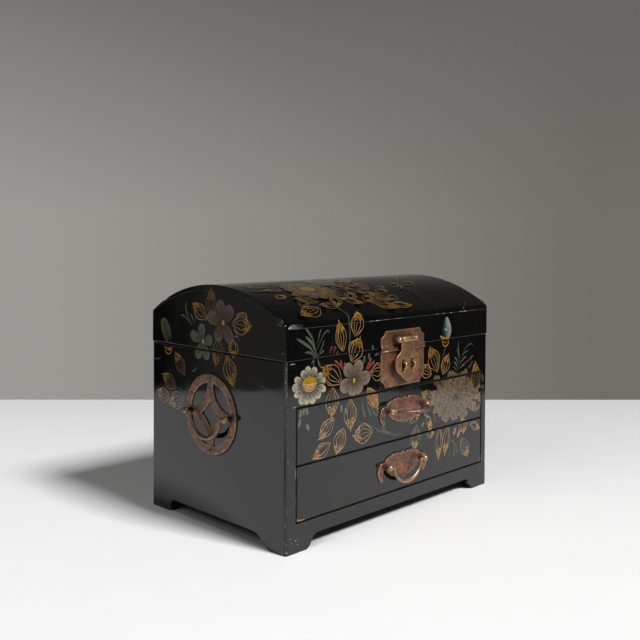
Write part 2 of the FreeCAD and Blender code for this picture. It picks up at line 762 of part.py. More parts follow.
def make_hasp():
    """The gourd-shaped hasp: a rolled eye, a neck, and a body with two slots and a tip bent outwards."""
    eye_half = hasp_eye_length / 2.0
    right = [
        (0, hasp_tip, 0),
        (hasp_lip_half, hasp_tip + hasp_lip_rise, 0.9),
        (hasp_cusp_half, hasp_tip + hasp_cusp_rise, -0.8),
        (hasp_body_half, hasp_widest, 1.1),
        (hasp_shoulder_half, hasp_widest + hasp_shoulder_rise, 1.4),
        (hasp_neck_half, hasp_widest + hasp_neck_rise, -1.6),
        (eye_half, hasp_axis_height, 0),
        (0, hasp_axis_height, 0),
    ]
    kick_top = slot_middle - slot_height / 2.0 - hasp_thickness
    half = hasp_thickness / 2.0
    fall = kick_top - hasp_tip
    lean = math.atan2(hasp_tip_kick, fall)
    bow = math.hypot(hasp_tip_kick, fall) / 2.0 * math.tan(lean / 2.0)
    profile = [
        (half, hasp_axis_height, 0),
        (-half, hasp_axis_height, 0),
        (-half, kick_top, 0),
        (-half - hasp_tip_kick, hasp_tip, -bow),
        (half - hasp_tip_kick, hasp_tip, 0),
        (half, kick_top, bow),
    ]
    blank = front_sheet(both_halves(right), 0, 0, -half - hasp_tip_kick, half)
    wide = hasp_body_half + hasp_thickness
    hasp = blank.common(side_sheet(profile, -wide, wide))
    axis_left = vector(-eye_half, 0, hasp_axis_height)
    axis_right = vector(eye_half, 0, hasp_axis_height)
    hasp = hasp.fuse(rod(hasp_eye_radius, axis_left, axis_right))
    beyond = vector(side_clearance, 0, 0)
    hasp = hasp.cut(rod(hasp_pin_radius + running_clearance, axis_left - beyond, axis_right + beyond))
    straight = (slot_height - slot_width) / 2.0
    for x in (-slot_pitch / 2.0, slot_pitch / 2.0):
        across = (x - slot_width / 2.0, x + slot_width / 2.0)
        up = (slot_middle - straight, slot_middle + straight)
        hasp = hasp.cut(box(across, (-hasp_thickness, hasp_thickness), up))
        for z in up:
            front = vector(x, -hasp_thickness, z)
            back = vector(x, hasp_thickness, z)
            hasp = hasp.cut(rod(slot_width / 2.0, front, back))
    hasp.translate(vector(latch_x, hasp_axis_y, 0))
    parts["hasp"] = hasp.removeSplitter()


def hinge_half(up, own, clearance):
    """One leaf of a hinge that faces -Y, its axis at z = 0: above it for up = 1, below for up = -1."""
    half = hinge_width / 2.0
    corners = [
        (-half, 0, 0),
        (-half, up * (hinge_leaf_height - hinge_clip), 0),
        (-half + hinge_clip, up * hinge_leaf_height, 0),
        (half - hinge_clip, up * hinge_leaf_height, 0),
        (half, up * (hinge_leaf_height - hinge_clip), 0),
        (half, 0, 0),
    ]
    leaf = front_sheet(corners, 0, 0, -hinge_leaf, 0)
    pitch = hinge_width / knuckle_count
    for step in range(knuckle_count):
        low = -half + step * pitch
        high = low + pitch
        if step % 2 == own:
            start = low + knuckle_gap / 2.0 * (step > 0)
            end = high - knuckle_gap / 2.0 * (step < knuckle_count - 1)
            barrel = rod(knuckle_radius, vector(start, -knuckle_radius, 0), vector(end, -knuckle_radius, 0))
            leaf = leaf.fuse(barrel)
        else:
            start = vector(low - knuckle_gap / 2.0, -knuckle_radius, 0)
            end = vector(high + knuckle_gap / 2.0, -knuckle_radius, 0)
            leaf = leaf.cut(rod(knuckle_radius + knuckle_gap, start, end))
    bore = rod(
        hinge_pin_radius + clearance,
        vector(-half, -knuckle_radius, 0),
        vector(half, -knuckle_radius, 0),
    )
    return leaf.cut(bore)


def make_hinges():
    """Two butt hinges on the back, screwed to the case and to the lid."""
    turn = 180
    groups = {"hinge_pins": [], "hinge_screws_case": [], "hinge_screws_lid": []}
    pin_low = vector(-hinge_width / 2.0, -knuckle_radius, 0)
    pin_high = vector(hinge_width / 2.0, -knuckle_radius, 0)
    for side, x in (("left", -hinge_x), ("right", hinge_x)):
        place = vector(x, back_y, hinge_axis_z)
        groups["hinge_pins"].append(facing(rod(hinge_pin_radius, pin_low, pin_high), turn, place))
        halves = (("case", -1, 0, 0, "back_panel"), ("lid", 1, 1, running_clearance, "lid_back_rail"))
        for body, up, own, clearance, board in halves:
            screws = [(step * hinge_screw_pitch, up * hinge_screw_reach) for step in (-1, 0, 1)]
            holes = drill(screws, screw_radius)
            leaf = hinge_half(up, own, clearance).cut(holes)
            fit({"hinge_leaf_" + body + "_" + side: leaf, "drill": holes}, [board], turn, place)
            groups["hinge_screws_" + body].append(facing(fasteners(screw(), screws), turn, place))
    for name, shapes in groups.items():
        parts[name] = Part.makeCompound(shapes)


make_case()
make_lid()
make_drawer("upper")
make_drawer("lower")
make_pull("upper", upper_pull_x, upper_pull_lift)
make_pull("lower", lower_pull_x, lower_pull_lift)
make_latch_plates()
make_hasp()
make_side_handle("left", "side_panel_left", -90, left_x)
make_side_handle("right", "side_panel_right", 90, right_x)
make_hinges()

os.makedirs("parts", exist_ok=True)
for name, shape in parts.items():
    shape.exportStep("parts/" + name + ".step")
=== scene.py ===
import bmesh
import bpy
import math
import random
from mathutils import Matrix, Vector, noise
from mathutils.bvhtree import BVHTree
from mathutils.geometry import delaunay_2d_cdt


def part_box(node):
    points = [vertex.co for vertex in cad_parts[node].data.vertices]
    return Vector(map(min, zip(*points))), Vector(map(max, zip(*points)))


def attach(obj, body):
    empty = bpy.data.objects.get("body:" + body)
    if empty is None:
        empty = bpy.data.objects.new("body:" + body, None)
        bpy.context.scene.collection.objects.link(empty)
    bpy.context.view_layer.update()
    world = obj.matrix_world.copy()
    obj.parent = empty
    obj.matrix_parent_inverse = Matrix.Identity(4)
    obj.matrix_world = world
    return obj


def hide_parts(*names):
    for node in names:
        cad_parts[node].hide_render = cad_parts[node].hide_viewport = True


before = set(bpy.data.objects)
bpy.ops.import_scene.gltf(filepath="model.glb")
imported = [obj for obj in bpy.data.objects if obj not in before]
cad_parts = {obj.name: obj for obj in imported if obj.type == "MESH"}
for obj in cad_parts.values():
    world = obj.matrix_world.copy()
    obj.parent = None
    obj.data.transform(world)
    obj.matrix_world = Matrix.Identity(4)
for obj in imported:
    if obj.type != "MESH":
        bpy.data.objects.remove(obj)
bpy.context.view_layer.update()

# The looks of a lacquered mahjong case: black lacquer with painted flowers, and aged brass fittings.
# Everything is in metres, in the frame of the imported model. Flat designs are drawn in millimetres.
MM = 0.001

# Places read from the frame
left_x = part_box("side_panel_left")[0].x
right_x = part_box("side_panel_right")[1].x
front_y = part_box("fascia_board")[0].y
back_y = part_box("back_panel")[1].y
middle_y = (front_y + back_y) / 2.0
half_depth = (back_y - front_y) / 2.0
seam_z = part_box("fascia_board")[1].z
lid_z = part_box("lid_front_rail")[0].z
eave_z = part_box("lid_front_rail")[1].z
crown_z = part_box("lid_top")[1].z

# The lid's arch: where the top board turns from its rounded eave into the dome
EAVE_RISE = 4.1 * MM
EAVE_ROUND = 5.0 * MM
CORNER_ROUND = 2.6 * MM
dome_rise = crown_z - eave_z - EAVE_RISE
arch_radius = (half_depth**2 + dome_rise**2) / (2.0 * dome_rise)
arch_z = crown_z - arch_radius
eave_middle = half_depth - EAVE_ROUND
eave_height = arch_z + math.sqrt((arch_radius - EAVE_ROUND) ** 2 - eave_middle**2)
eave_turn = math.atan2(eave_height - arch_z, eave_middle)


# ---------------------------------------------------------------- camera

TURN = math.radians(45.23)
PITCH = math.radians(1.11)
ROLL = math.radians(0.252)
EYE = Vector((-0.63941, -0.61239, 0.27891))
LENS_MM = 47.127
SENSOR_MM = 36.0
SHIFT = (0.0006, -0.1112)

view_flat = Vector((math.sin(TURN), math.cos(TURN), 0.0))
view_ahead = view_flat * math.cos(PITCH) - Vector((0.0, 0.0, math.sin(PITCH)))
view_right = view_ahead.cross(Vector((0, 0, 1))).normalized()


def make_camera():
    """The camera, placed and turned as the photograph's was."""
    up = view_right.cross(view_ahead)
    right_rolled = view_right * math.cos(ROLL) + up * math.sin(ROLL)
    up_rolled = up * math.cos(ROLL) - view_right * math.sin(ROLL)
    camera = bpy.data.cameras.new("camera")
    camera.lens = LENS_MM
    camera.sensor_width = SENSOR_MM
    camera.shift_x, camera.shift_y = SHIFT
    holder = bpy.data.objects.new("camera", camera)
    axes = Matrix((right_rolled, up_rolled, -view_ahead)).transposed().to_4x4()
    holder.matrix_world = Matrix.Translation(EYE) @ axes
    bpy.context.scene.collection.objects.link(holder)
    bpy.context.scene.camera = holder


# ---------------------------------------------------------------- materials

MIX_A = 6  # the colour sockets of a mix node, which share their names with others
MIX_B = 7
MIX_RESULT = 2


def grey(value):
    """A neutral colour."""
    return (value,) * 3


class Nodes:
    """Short names for the nodes of a tree. Most of them make one node and give back its output."""

    def __init__(self, tree, coordinates):
        self.tree = tree
        self.where = self.node("ShaderNodeTexCoord").outputs[coordinates]

    def node(self, kind, **settings):
        made = self.tree.nodes.new(kind)
        for key, value in settings.items():
            setattr(made, key, value)
        return made

    def plug(self, value, socket):
        if isinstance(value, bpy.types.NodeSocket):
            self.tree.links.new(value, socket)
        elif hasattr(value, "__len__"):
            socket.default_value = tuple(value) + (1.0,) * (len(socket.default_value) - len(value))
        else:
            socket.default_value = value

    def noise(self, scale, detail=2.0, rough=0.5, warp=0.0, where=None):
        made = self.node("ShaderNodeTexNoise")
        self.plug(where or self.where, made.inputs["Vector"])
        settings = {"Scale": scale, "Detail": detail, "Roughness": rough, "Distortion": warp}
        for name, value in settings.items():
            self.plug(value, made.inputs[name])
        return made.outputs["Fac"]

    def cells(self, scale, output="Distance", feature="F1"):
        made = self.node("ShaderNodeTexVoronoi", feature=feature)
        self.plug(self.where, made.inputs["Vector"])
        self.plug(scale, made.inputs["Scale"])
        return made.outputs[output]

    def stretched(self, x, y, z):
        made = self.node("ShaderNodeMapping")
        self.plug(self.where, made.inputs["Vector"])
        made.inputs["Scale"].default_value = (x, y, z)
        return made.outputs["Vector"]

    def ramp(self, value, stops):
        made = self.node("ShaderNodeValToRGB")
        self.plug(value, made.inputs["Fac"])
        points = made.color_ramp.elements
        while len(points) < len(stops):
            points.new(0.5)
        for point, (at, colour) in zip(points, stops):
            point.position = at
            tone = colour if hasattr(colour, "__len__") else grey(colour)
            point.color = tuple(tone) + (1.0,)
        return made.outputs["Color"]

    def mix(self, share, a, b, blend="MIX"):
        made = self.node("ShaderNodeMix", data_type="RGBA", blend_type=blend)
        self.plug(share, made.inputs["Factor"])
        self.plug(a, made.inputs[MIX_A])
        self.plug(b, made.inputs[MIX_B])
        return made.outputs[MIX_RESULT]

    def maths(self, operation, a, b=0.0, limit=False):
        made = self.node("ShaderNodeMath", operation=operation, use_clamp=limit)
        self.plug(a, made.inputs[0])
        self.plug(b, made.inputs[1])
        return made.outputs[0]

    def attribute(self, name):
        return self.node("ShaderNodeAttribute", attribute_name=name).outputs["Color"]

    def bump(self, height, distance, under=None):
        made = self.node("ShaderNodeBump")
        self.plug(distance, made.inputs["Distance"])
        self.plug(height, made.inputs["Height"])
        if under is not None:
            self.plug(under, made.inputs["Normal"])
        return made.outputs["Normal"]

    def place(self):
        """The three parts of the place, or of the direction in the world."""
        split = self.node("ShaderNodeSeparateXYZ")
        self.plug(self.where, split.inputs[0])
        return split.outputs


class Finish(Nodes):
    """A material with one Principled shader."""

    def __init__(self, name, **constants):
        self.material = bpy.data.materials.new(name)
        self.material.use_nodes = True
        tree = self.material.node_tree
        self.shader = tree.nodes["Principled BSDF"]
        for socket, value in constants.items():
            self.shader.inputs[socket.replace("_", " ")].default_value = value
        super().__init__(tree, "Object")

    def wear(self, colour, roughness, normal):
        for name, value in (("Base Color", colour), ("Roughness", roughness), ("Normal", normal)):
            self.plug(value, self.shader.inputs[name])
        return self.material


def gloss_normal(finish):
    """The slow waves and fine ripple of old hand-rubbed lacquer."""
    waves = finish.bump(finish.noise(26.0, 1.0), 0.06 * MM)
    return finish.bump(finish.noise(240.0, 2.0), 0.0035 * MM, waves)


def make_lacquer():
    """Black lacquer with specks of dust in patches, hand smears and a faint haze."""
    finish = Finish("black_lacquer", IOR=1.56)
    cloud = finish.noise(16.0, 4.0)
    base = finish.ramp(cloud, [(0.3, (0.0020, 0.0020, 0.0022)), (0.7, (0.0046, 0.0043, 0.0040))])
    specks = finish.maths("LESS_THAN", finish.cells(310.0), 0.045)
    patchy = finish.maths("GREATER_THAN", finish.noise(9.0, 2.0), 0.56)
    dust = finish.maths("MULTIPLY", specks, patchy)
    base = finish.mix(dust, base, (0.09, 0.085, 0.08))
    smears = finish.noise(45.0, 5.0, 0.62, 0.6)
    hazy = finish.ramp(finish.noise(14.0, 3.0, 0.55, 1.5), [(0.45, 0.0), (0.7, 0.09)])
    rough = finish.ramp(smears, [(0.35, 0.035), (0.6, 0.07), (0.8, 0.17)])
    rough = finish.mix(1.0, rough, hazy, "ADD")
    return finish.wear(base, rough, gloss_normal(finish))


def make_paint(name, **constants):
    """The ornament's colours, which are painted on and lie under the same gloss as the lacquer."""
    finish = Finish(name, **constants)
    thin = finish.noise(420.0, 3.0, 0.6)
    streak = finish.ramp(thin, [(0.25, 0.62), (0.5, 0.95), (0.75, 1.18)])
    colour = finish.mix(1.0, finish.attribute("paint"), streak, "MULTIPLY")
    rough = finish.ramp(finish.noise(60.0, 3.0), [(0.3, 0.06), (0.7, 0.16)])
    relief = finish.bump(thin, 0.01 * MM, gloss_normal(finish))
    return finish.wear(colour, rough, relief)


def make_matte_marks():
    """A rough finish for marks on the lacquer: bare gesso and wood where it has chipped off, scuffed lacquer,
    and painted shade and painted highlights on edges and seams.
    """
    finish = Finish("matte_marks", IOR=1.4)
    grain = finish.noise(900.0, 3.0, 0.6)
    paint = finish.attribute("paint")
    colour = finish.mix(1.0, paint, finish.ramp(grain, [(0.3, 0.6), (0.7, 1.15)]), "MULTIPLY")
    rough = finish.ramp(grain, [(0.3, 0.55), (0.7, 0.8)])
    return finish.wear(colour, rough, finish.bump(grain, 0.08 * MM))


def make_inner_wood():
    """Red-stained wood with its grain along x."""
    finish = Finish("stained_wood", IOR=1.45)
    grain = finish.noise(30.0, 6.0, 0.6, 0.8, finish.stretched(1.0, 6.0, 9.0))
    pores = finish.noise(260.0, 3.0, 0.6, 0.0, finish.stretched(0.25, 3.0, 3.0))
    stains = [(0.3, (0.075, 0.022, 0.014)), (0.5, (0.14, 0.042, 0.024)), (0.72, (0.2, 0.068, 0.036))]
    colour = finish.ramp(grain, stains)
    colour = finish.mix(finish.ramp(pores, [(0.42, 0.55), (0.55, 0.0)]), colour, (0.035, 0.012, 0.009))
    rough = finish.ramp(pores, [(0.3, 0.55), (0.7, 0.36)])
    return finish.wear(colour, rough, finish.bump(pores, 0.12 * MM))


def make_felt():
    """Crimson felt with loose fibres and a worn nap."""
    finish = Finish("crimson_felt", IOR=1.4, Sheen_Weight=0.25, Sheen_Roughness=0.5)
    finish.shader.inputs["Sheen Tint"].default_value = (0.8, 0.2, 0.2, 1.0)
    fibres = finish.noise(1400.0, 5.0, 0.75, 1.2)
    nap = finish.noise(60.0, 4.0, 0.6)
    colour = finish.ramp(nap, [(0.3, (0.12, 0.007, 0.012)), (0.7, (0.20, 0.014, 0.020))])
    colour = finish.mix(finish.ramp(fibres, [(0.4, 0.6), (0.65, 0.0)]), colour, (0.06, 0.003, 0.006))
    rough = finish.ramp(fibres, [(0.3, 0.85), (0.7, 0.98)])
    return finish.wear(colour, rough, finish.bump(fibres, 0.4 * MM))


def make_metal(name, tones, spots, rubbed, depth=0.35 * MM):
    """Old cast or sheet metal: cloudy patches of the tones and dark spots.

    It is rubbed where the mesh's "rub" layer says so, and darkened by painted shade where its second layer
    says so."""
    finish = Finish(name, Metallic=0.74, IOR=1.5)
    patches = finish.noise(62.0, 5.0, 0.62, 0.6)
    mottle = finish.noise(330.0, 4.0, 0.65)
    stops = [(0.3 + 0.36 * step / (len(tones) - 1), tone) for step, tone in enumerate(tones)]
    colour = finish.ramp(patches, stops)
    colour = finish.mix(finish.ramp(mottle, [(0.36, 0.7), (0.54, 0.0)]), colour, spots)
    uneven = finish.ramp(finish.noise(150.0, 3.0, 0.6), [(0.35, 0.15), (0.62, 0.8)])
    rub = finish.maths("MULTIPLY", finish.attribute("rub"), uneven)
    colour = finish.mix(rub, colour, rubbed)
    rough = finish.mix(rub, finish.ramp(mottle, [(0.3, 0.56), (0.7, 0.42)]), grey(0.3))
    # Painted shade: near black and dull where the mesh's second layer says so, round posts and at plate
    # edges.
    patchy = finish.ramp(finish.noise(260.0, 3.0, 0.6), [(0.3, 1.0), (0.7, 0.7)])
    painted_shade = finish.maths("MULTIPLY", finish.attribute("painted_shade"), patchy)
    colour = finish.mix(painted_shade, colour, (0.010, 0.007, 0.005))
    rough = finish.mix(painted_shade, rough, grey(0.7))
    pits = finish.bump(mottle, 0.06 * MM)
    return finish.wear(colour, rough, finish.bump(patches, depth, pits))


def make_metals():
    """The case's metals. Each has its tones, its spots' colour, its colour where rubbed, and its depth."""
    aged = [(0.125, 0.088, 0.058), (0.185, 0.108, 0.074), (0.26, 0.134, 0.092), (0.42, 0.158, 0.094)]
    latch = [(0.115, 0.075, 0.045), (0.17, 0.092, 0.057), (0.24, 0.118, 0.073), (0.45, 0.155, 0.078)]
    hasp = [(0.20, 0.115, 0.055), (0.28, 0.15, 0.075), (0.34, 0.18, 0.09), (0.36, 0.165, 0.08)]
    dull = [(0.105, 0.074, 0.052), (0.175, 0.112, 0.080), (0.225, 0.134, 0.095), (0.33, 0.175, 0.12)]
    bail = [(0.16, 0.105, 0.066), (0.23, 0.145, 0.092), (0.32, 0.20, 0.128), (0.36, 0.19, 0.11)]
    nail = [(0.05, 0.035, 0.028), (0.08, 0.052, 0.04), (0.11, 0.066, 0.048)]
    return (
        make_metal("aged_brass", aged, (0.07, 0.042, 0.031), (0.50, 0.30, 0.21)),
        make_metal("latch_brass", latch, (0.065, 0.036, 0.024), (0.60, 0.31, 0.185)),
        make_metal("hasp_brass", hasp, (0.11, 0.062, 0.034), (0.62, 0.40, 0.22)),
        make_metal("dull_brass", dull, (0.055, 0.036, 0.030), (0.42, 0.27, 0.19)),
        make_metal("bail_brass", bail, (0.085, 0.053, 0.036), (0.60, 0.41, 0.27), 0.12 * MM),
        make_metal("tarnished_nail", nail, (0.03, 0.022, 0.02), (0.25, 0.16, 0.12), 0.1 * MM),
    )


def make_painted_shadow_finish():
    """The painted shadow round the plates: dull and nearly black."""
    finish = Finish("painted_plate_shadow", IOR=1.4)
    lumps = finish.noise(700.0, 3.0, 0.6)
    colour = finish.ramp(lumps, [(0.3, (0.0035, 0.003, 0.0028)), (0.7, (0.009, 0.0075, 0.006))])
    rough = finish.ramp(lumps, [(0.3, 0.5), (0.7, 0.75)])
    return finish.wear(colour, rough, finish.bump(lumps, 0.05 * MM))


def make_bright_brass():
    """Brass that is kept bright by rubbing, with darker mottles."""
    finish = Finish("rubbed_brass", Metallic=0.9, IOR=1.5)
    mottle = finish.noise(420.0, 4.0, 0.6)
    tones = [(0.3, (0.27, 0.15, 0.06)), (0.5, (0.56, 0.38, 0.16)), (0.7, (0.74, 0.54, 0.27))]
    colour = finish.ramp(mottle, tones)
    rough = finish.ramp(mottle, [(0.3, 0.42), (0.7, 0.2)])
    return finish.wear(colour, rough, finish.bump(mottle, 0.04 * MM))


PAINTED_SHADOW_EDGE = 5.0 * MM  # the painted shadow is full dark this far in under the case
PAINTED_SHADOW_REACH = 70.0 * MM  # and the table is pale again, without painted shadow, this far in from the case's left side
# how dark the painted shadow is, as a share of the table's tone
PAINTED_SHADOW_TONE = 0.33


def make_table_top():
    """A pale top with painted shade: greyer towards its right and back, where the light falls off, and a
    painted contact shadow under the case's left side.
    """
    finish = Finish("pale_table", Specular_IOR_Level=0.15)
    x, y, _ = finish.place()
    # Painted shade: the top grows greyer towards its right and back, for the light's fall-off there.
    across = finish.maths("SUBTRACT", x, finish.maths("MULTIPLY", y, -0.35))
    across = finish.maths("ADD", finish.maths("MULTIPLY", across, 0.7), 0.5, True)
    fine = finish.noise(20.0, 4.0)
    tone = finish.ramp(across, [(0.0, 0.93), (0.55, 0.85), (1.0, 0.665)])
    colour = finish.mix(1.0, tone, finish.ramp(fine, [(0.3, 0.985), (0.7, 1.0)]), "MULTIPLY")
    # Painted contact shadow: darker under the case's left side, fading out further in.
    inward = finish.maths("SUBTRACT", x, left_x)
    to_front = finish.maths("SUBTRACT", y, front_y)
    to_back = finish.maths("SUBTRACT", back_y, y)
    nearest = finish.maths("MINIMUM", inward, finish.maths("MINIMUM", to_front, to_back))
    edge = finish.maths("DIVIDE", nearest, PAINTED_SHADOW_EDGE, True)
    under = finish.ramp(edge, [(0.0, 1.0), (1.0, PAINTED_SHADOW_TONE)])
    far_in = finish.maths("DIVIDE", inward, PAINTED_SHADOW_REACH, True)
    colour = finish.mix(1.0, colour, finish.mix(far_in, under, grey(1.0)), "MULTIPLY")
    rough = finish.ramp(finish.noise(350.0, 2.0), [(0.3, 0.7), (0.7, 0.85)])
    return finish.wear(colour, rough, finish.bump(finish.noise(700.0, 2.0), 0.02 * MM))


lacquer = make_lacquer()
inner_wood = make_inner_wood()
felt = make_felt()
aged_brass, latch_brass, hasp_brass, dull_brass, bail_brass, nail_iron = make_metals()
bright_brass = make_bright_brass()
painted_shade = make_painted_shadow_finish()
petal_paint = make_paint("petal_paint", IOR=1.56)
gold_paint = make_paint("gold_paint", IOR=1.56, Metallic=0.25)
worn = make_matte_marks()
ornament_paints = [petal_paint, gold_paint, worn]
PETAL, GOLD, MATTE_MARKS = range(3)


# ---------------------------------------------------------------- stage and light

TABLE_LEFT = -0.78
TABLE_RIGHT = 0.72
TABLE_NEAR = -0.35
TABLE_FAR_LEFT = 1.377
TABLE_FAR_RIGHT = 1.408
TABLE_THICKNESS = 0.03


def make_table():
    """A pale table top, square to the camera, as the lacquer's reflections show it."""
    right = Vector((math.cos(TURN), -math.sin(TURN), 0.0))
    foot = Vector((EYE.x, EYE.y, 0.0))
    near = [(TABLE_NEAR, TABLE_LEFT), (TABLE_NEAR, TABLE_RIGHT)]
    far = [(TABLE_FAR_RIGHT, TABLE_RIGHT), (TABLE_FAR_LEFT, TABLE_LEFT)]
    corners = [foot + view_flat * away + right * across for away, across in near + far]
    below = [corner - Vector((0, 0, TABLE_THICKNESS)) for corner in corners]
    sides = [(i, (i + 1) % 4, 4 + (i + 1) % 4, 4 + i) for i in range(4)]
    mesh = bpy.data.meshes.new("table_top")
    mesh.from_pydata(corners + below, [], [(3, 2, 1, 0), (4, 5, 6, 7)] + sides)
    mesh.materials.append(make_table_top())
    table = bpy.data.objects.new("table_top", mesh)
    bpy.context.scene.collection.objects.link(table)


# How bright the room is that the object mirrors: (compass heading in degrees from +Y towards +X, brightness)
ROOM = (
    (-180, 0.06), (-150, 0.3), (-60, 0.5), (-37.5, 0.48), (-36, 0.02),
    (-24, 0.02), (-10, 1.0), (85, 1.0), (105, 0.12), (180, 0.04),
)
WALL_SPAN = math.radians(20.0)  # the wall's tones run from this far left of the view to as far right


def make_world():
    """A grey wall behind the object for the camera, and a room with dark sides for all other rays."""
    world = bpy.data.worlds.new("studio")
    bpy.context.scene.world = world
    world.use_nodes = True
    background = world.node_tree.nodes["Background"]
    room = Nodes(world.node_tree, "Generated")
    east, north, height = room.place()
    heading = room.maths("ARCTAN2", east, north)
    share = room.maths("ADD", room.maths("DIVIDE", heading, 2.0 * math.pi), 0.5)
    around = room.ramp(share, [(degrees / 360.0 + 0.5, level) for degrees, level in ROOM])
    up = room.maths("ADD", height, 0.0, True)
    fade = room.ramp(up, [(0.0, 1.0), (0.3, 0.85), (0.5, 0.42), (0.75, 0.14), (1.0, 0.1)])
    aside = room.maths("SINE", room.maths("SUBTRACT", heading, TURN))
    across = room.maths("ADD", room.maths("DIVIDE", aside, 2.0 * math.sin(WALL_SPAN)), 0.5, True)
    low = [(0.0, (0.33, 0.322, 0.302)), (0.45, (0.258, 0.249, 0.230)), (0.95, (0.165, 0.155, 0.141))]
    high = [(0.0, (0.176, 0.173, 0.167)), (0.45, (0.142, 0.137, 0.128)), (0.95, (0.130, 0.126, 0.117))]
    low_wall = room.ramp(across, low)
    high_wall = room.ramp(across, high)
    climb = room.ramp(room.maths("ADD", height, 0.0, True), [(0.02, 0.0), (0.27, 1.0)])
    wall = room.mix(climb, low_wall, high_wall)
    seen = room.mix(1.0, room.mix(1.0, wall, around, "MULTIPLY"), fade, "MULTIPLY")
    path = room.node("ShaderNodeLightPath")
    room.plug(room.mix(path.outputs["Is Camera Ray"], seen, wall), background.inputs["Color"])
    background.inputs["Strength"].default_value = 1.0


def softbox(name, heading, elevation, distance, size, power, glossy=True):
    """A large soft lamp that looks at the case from a compass heading, in degrees from +Y towards +X."""
    lamp = bpy.data.lights.new(name, "AREA")
    lamp.shape = "RECTANGLE"
    lamp.size, lamp.size_y = size
    lamp.energy = power
    holder = bpy.data.objects.new(name, lamp)
    turn, tilt = math.radians(heading), math.radians(elevation)
    away = Vector((math.sin(turn) * math.cos(tilt), math.cos(turn) * math.cos(tilt), math.sin(tilt)))
    target = Vector((0.0, 0.0, crown_z / 2.0))
    holder.location = target + away * distance
    holder.rotation_euler = (-away).to_track_quat("-Z", "Y").to_euler()
    holder.visible_glossy = glossy
    bpy.context.scene.collection.objects.link(holder)


make_camera()
make_table()
make_world()
softbox("key_light", 172, 47, 6.0, (1.2, 1.5), 438.0)
softbox("fill_light", 275, 40, 2.4, (1.4, 1.2), 12.5, glossy=False)
bpy.context.scene.view_settings.view_transform = "Standard"


# ---------------------------------------------------------------- mesh helpers

def add_piece(name, mesh, body):
    """Puts a mesh in the frame's own coordinates into the scene, where it rides on a body."""
    piece = bpy.data.objects.new(name, mesh)
    bpy.context.scene.collection.objects.link(piece)
    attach(piece, body)
    return piece


def place_mesh(name, vertices, faces, material, body):
    """A closed mesh with smooth shading and one material."""
    mesh = bpy.data.meshes.new(name)
    mesh.from_pydata(vertices, [], faces)
    tidy = bmesh.new()
    tidy.from_mesh(mesh)
    bmesh.ops.recalc_face_normals(tidy, faces=tidy.faces)
    tidy.to_mesh(mesh)
    tidy.free()
    mesh.materials.append(material)
    mesh.shade_smooth()
    return add_piece(name, mesh, body)


def strip(low, high):
    """The faces between two closed rings of vertices, each a sequence of indices."""
    faces = []
    for i in range(len(low)):
        j = (i + 1) % len(low)
        faces.append((low[i], low[j], high[j], high[i]))
    return faces


def tube_faces(rings, sides):
    """The faces of a closed tube, whose vertices run ring by ring."""
    starts = [ring * sides for ring in range(rings)]
    faces = []
    for start in starts[:-1]:
        faces += strip(range(start, start + sides), range(start + sides, start + 2 * sides))
    faces.append(tuple(range(sides)))
    faces.append(tuple(starts[-1] + step for step in reversed(range(sides))))
    return faces


def lathe_rings(profile, origin, axis, around, sides):
    """Vertices and faces of a turned shape. The profile runs from end to end as (radius, height)."""
    across = axis.cross(around).normalized()
    around = across.cross(axis).normalized()
    vertices = []
    for radius, height in profile:
        for step in range(sides):
            angle = 2.0 * math.pi * step / sides
            spoke = around * math.cos(angle) + across * math.sin(angle)
            vertices.append(origin + axis * height + spoke * radius)
    return vertices, tube_faces(len(profile), sides)


def joined(groups):
    """Several (vertices, faces) groups as one."""
    vertices, faces = [], []
    for more_vertices, more_faces in groups:
        base = len(vertices)
        vertices.extend(more_vertices)
        faces.extend(tuple(base + index for index in face) for face in more_faces)
    return vertices, faces


def swept(points, radii, sides):
    """A round bar along points, with a radius at each."""
    vertices = []
    side = None
    for index, (point, radius) in enumerate(zip(points, radii)):
        before = points[max(index - 1, 0)]
        after = points[min(index + 1, len(points) - 1)]
        along = (after - before).normalized()
        side = along.orthogonal() if side is None else side - along * side.dot(along)
        side.normalize()
        up = side.cross(along).normalized()
        for step in range(sides):
            angle = 2.0 * math.pi * step / sides
            vertices.append(point + side * (radius * math.cos(angle)) + up * (radius * math.sin(angle)))
    return vertices, tube_faces(len(points), sides)


class Facing:
    """A flat side that a fitting or a painting lies on: u runs to the right as it is seen, v runs up."""

    def __init__(self, outward, at):
        self.outward = Vector(outward)
        self.right = Vector((0, 0, 1)).cross(self.outward)
        self.at = at

    def flat(self, point):
        return point.dot(self.right) / MM, point.z / MM

    def out(self, u, v, height):
        """The point at (u, v) and at a height above the side, all in millimetres."""
        return self.right * (u * MM) + Vector((0, 0, v * MM)) + self.outward * (self.at + height * MM)


front_side = Facing((0, -1, 0), -front_y)
left_side = Facing((-1, 0, 0), -left_x)
right_side = Facing((1, 0, 0), right_x)


# ---------------------------------------------------------------- pressed sheet metal

NAIL_HOLE = 2.4  # round openings up to this radius stay under a nail, and are left out
SHORTEST_EDGE = 0.12
ROW_SHARE = 0.866  # the height of an equal-sided triangle, as a share of its side


def traced(edges):
    """The closed loops that a set of mesh edges makes, each as a list of vertices."""
    beside = {}
    for edge in edges:
        for vertex, other in (edge.verts, reversed(edge.verts)):
            beside.setdefault(vertex, []).append(other)
    loops = []
    while beside:
        start = next(iter(beside))
        loop = [start]
        vertex = beside[start][0]
        before = start
        while vertex is not start:
            loop.append(vertex)
            following = [other for other in beside[vertex] if other is not before]
            before, vertex = vertex, following[0]
        for vertex in loop:
            beside.pop(vertex, None)
        loops.append(loop)
    return loops


def area_of(loop):
    """The area within a loop of (u, v) points, negative where it runs clockwise."""
    return sum(a[0] * b[1] - b[0] * a[1] for a, b in zip(loop, loop[1:] + loop[:1])) / 2.0


